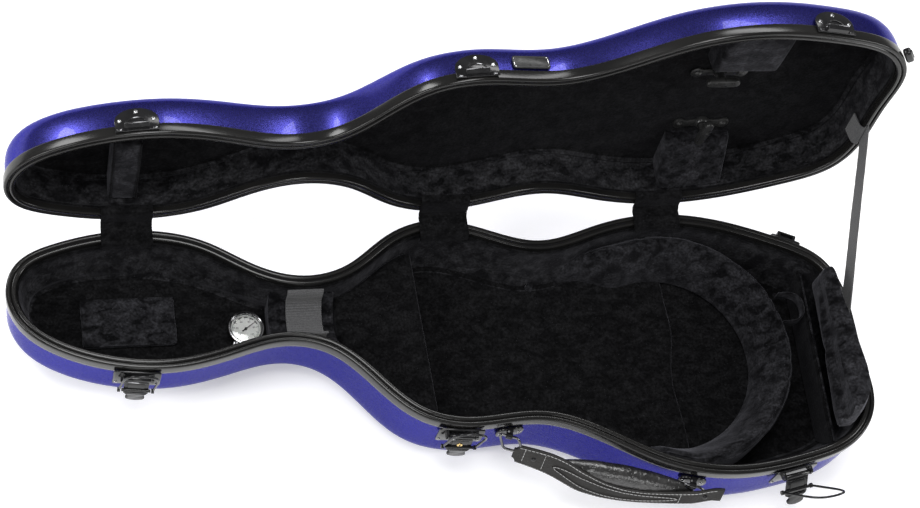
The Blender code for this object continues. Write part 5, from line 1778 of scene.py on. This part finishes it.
def add_spinner(name, x, y, turn_deg):
    floor = floor_of("lid", np.array([x * MM]))[0] - 0.3 * MM
    place = LID @ Matrix.Translation((x * MM, y * MM, floor)) @ Matrix.Rotation(math.pi, 4, "X")
    plate_path = [
        (-27.4, -2), (-25, 3.4), (-21, 4.5), (-15, 2.4), (0, 4.4), (15, 2.4), (21, 4.5), (25, 3.4),
        (27.4, -2), (25, -7.4), (21, -8.5), (14, -6.5), (0, -5.6), (-14, -6.5), (-21, -8.5), (-25, -7.4)
    ]
    outline = smooth_path([(a * MM, b * MM, 0) for a, b in plate_path], 120, closed=True)
    plate = prism([(p.x, p.y) for p in outline], 0.1 * MM, 2.2 * MM, 0.6 * MM, 2)
    hub = lathe([(0, 0), (6.5 * MM, 0), (6.5 * MM, 3.6 * MM), (5.6 * MM, 5.0 * MM), (0, 5.0 * MM)], 36)
    piece(f"{name}_base", joined(plate, hub), PLASTIC, "lid", place, (f"{name}_plate",))
    studs = []
    for s in (-21 * MM, 21 * MM):
        studs.append(lathe([
            (0, 2.0 * MM), (3.6 * MM, 2.0 * MM), (3.4 * MM, 3.0 * MM), (2.2 * MM, 3.9 * MM), (0, 4.2 * MM)
        ], 28,
                           Matrix.Translation((s, -2 * MM, 0))))
    piece(f"{name}_studs", joined(*studs), PLASTIC, "lid", place)
    spin = place @ Matrix.Rotation(math.radians(-turn_deg), 4, "Z")
    arm = [
        (-16, 0), (-13.5, 3.8), (-7, 4.5), (0, 4.9), (7, 4.5), (13.5, 3.8), (16, 0), (13.5, -3.8),
        (7, -4.5), (0, -4.9), (-7, -4.5), (-13.5, -3.8)
    ]
    outline = smooth_path([(a * MM, b * MM, 0) for a, b in arm], 72, closed=True)
    bar = prism([(p.x, p.y) for p in outline], 12 * MM, 17.3 * MM, 1.4 * MM, 3)
    post = lathe(
        [(0, 5.4 * MM), (3.6 * MM, 5.4 * MM), (3.4 * MM, 8 * MM), (3.4 * MM, 12.4 * MM), (0, 12.4 * MM)], 28
    )
    cap = lathe([(0, 17.0 * MM), (3.0 * MM, 17.0 * MM), (2.6 * MM, 17.5 * MM), (0, 17.7 * MM)], 28)
    piece(f"{name}_turn_bar", joined(bar, post, cap), PLASTIC, name, spin, (f"{name}_bar",))


# ---------------------------------------------------------------- camera, floor and lights

def add_camera():
    azimuth = math.radians(31.57)
    elevation = math.radians(62.57)
    roll = math.radians(26.62)
    view = Vector((
        math.sin(azimuth) * math.cos(elevation), math.cos(azimuth) * math.cos(elevation),
        -math.sin(elevation)
    ))
    right = Vector((math.cos(azimuth), -math.sin(azimuth), 0))
    up = right.cross(view)
    across = right * math.cos(roll) + up * math.sin(roll)
    upward = up * math.cos(roll) - right * math.sin(roll)
    target = Vector((0.017, 0.102, 0.092))
    place = Matrix((across, upward, -view)).transposed().to_4x4()
    data = bpy.data.cameras.new("camera")
    data.sensor_width = 36
    data.sensor_fit = "HORIZONTAL"
    data.lens = 87.4
    data.clip_end = 50
    camera = bpy.data.objects.new("camera", data)
    bpy.context.scene.collection.objects.link(camera)
    camera.matrix_world = Matrix.Translation(target - view * 2.063) @ place
    bpy.context.scene.camera = camera


def area_light(name, spot, target, size, power, tint=(1, 1, 1)):
    data = bpy.data.lights.new(name, "AREA")
    data.shape = "RECTANGLE"
    data.size, data.size_y = size
    data.energy = power
    data.color = tint
    light = bpy.data.objects.new(name, data)
    bpy.context.scene.collection.objects.link(light)
    light.location = spot
    light.rotation_euler = (Vector(target) - Vector(spot)).to_track_quat("-Z", "Y").to_euler()


def add_studio():
    """Plain white floor, a large softbox overhead, narrower ones beside it, and a dim surround."""
    made = bmesh.new()
    bmesh.ops.create_grid(made, x_segments=8, y_segments=8, size=6.0)
    floor = object_from("studio_floor", made, floor_paper())
    world = bpy.data.worlds.new("studio")
    world.use_nodes = True
    back = world.node_tree.nodes["Background"]
    back.inputs["Color"].default_value = (1.0, 1.0, 1.0, 1.0)
    back.inputs["Strength"].default_value = 0.25
    bpy.context.scene.world = world
    area_light("overhead", (-0.3, 0.15, 2.7), (0, 0.05, 0), (1.5, 0.8), 42)
    area_light("back_box", (0.8, 2.1, 2.5), (0.1, 0.2, 0.2), (1.5, 0.5), 26)
    area_light("back_left_box", (-2.0, 1.9, 1.9), (-0.3, 0.2, 0.3), (0.7, 0.9), 30)
    area_light("left_box", (-2.0, -0.3, 1.5), (-0.1, 0, 0.05), (0.5, 1.4), 30)
    area_light("right_box", (2.1, -0.5, 1.3), (0.2, 0, 0.05), (0.6, 1.2), 26)
    area_light("front_box", (-0.3, -2.2, 0.8), (0.0, 0, 0.05), (0.8, 0.5), 9)
    bpy.context.scene.view_settings.view_transform = "Standard"


# ---------------------------------------------------------------- the whole case

for half in ("base", "lid"):
    add_shell(half)
    add_rim(half)
    add_lining(half)
add_floor_pad()
add_platform()
add_cradle()
add_neck_strap()
add_scroll_pad()
add_tail_cushion()
add_divider()
add_pull_loop()
add_flap()
add_hygrometer()
for number, x in enumerate((-287, 5, 213), start=1):
    add_hinge_cover(number, x)
    for leaf in ("base_leaf", "lid_leaf"):
        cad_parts[f"hinge_{number}_{leaf}"].material_slots[0].material = ENAMEL
    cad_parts[f"hinge_{number}_pin"].material_slots[0].material = CHROME
add_stay()
for number, (x, lever_deg, bail_deg, lean) in enumerate(LATCHES, start=1):
    add_latch(number, x, lever_deg, bail_deg, lean)
    add_catch(number, x)
add_nameplate()
add_lid_end_tab()
add_rear_bracket()
add_handle()
add_tip_pocket()
add_frog_block(
    "frog_block_lower",
    ((74.5, 40), (75, 33), (80, 28), (100, 19.5), (121, 11.6), (132, 11), (140, 14), (150, 40)), 214, 276
)
add_frog_block(
    "frog_block_upper", ((-150, 40), (-140, 16), (-104, 14), (-50, 20), (-44, 24), (-42.5, 40)), 222, 284
)
add_spinner("spinner_upper", 240, -20, 0)
add_spinner("spinner_lower", 245, 59, 98)
add_camera()
add_studio()
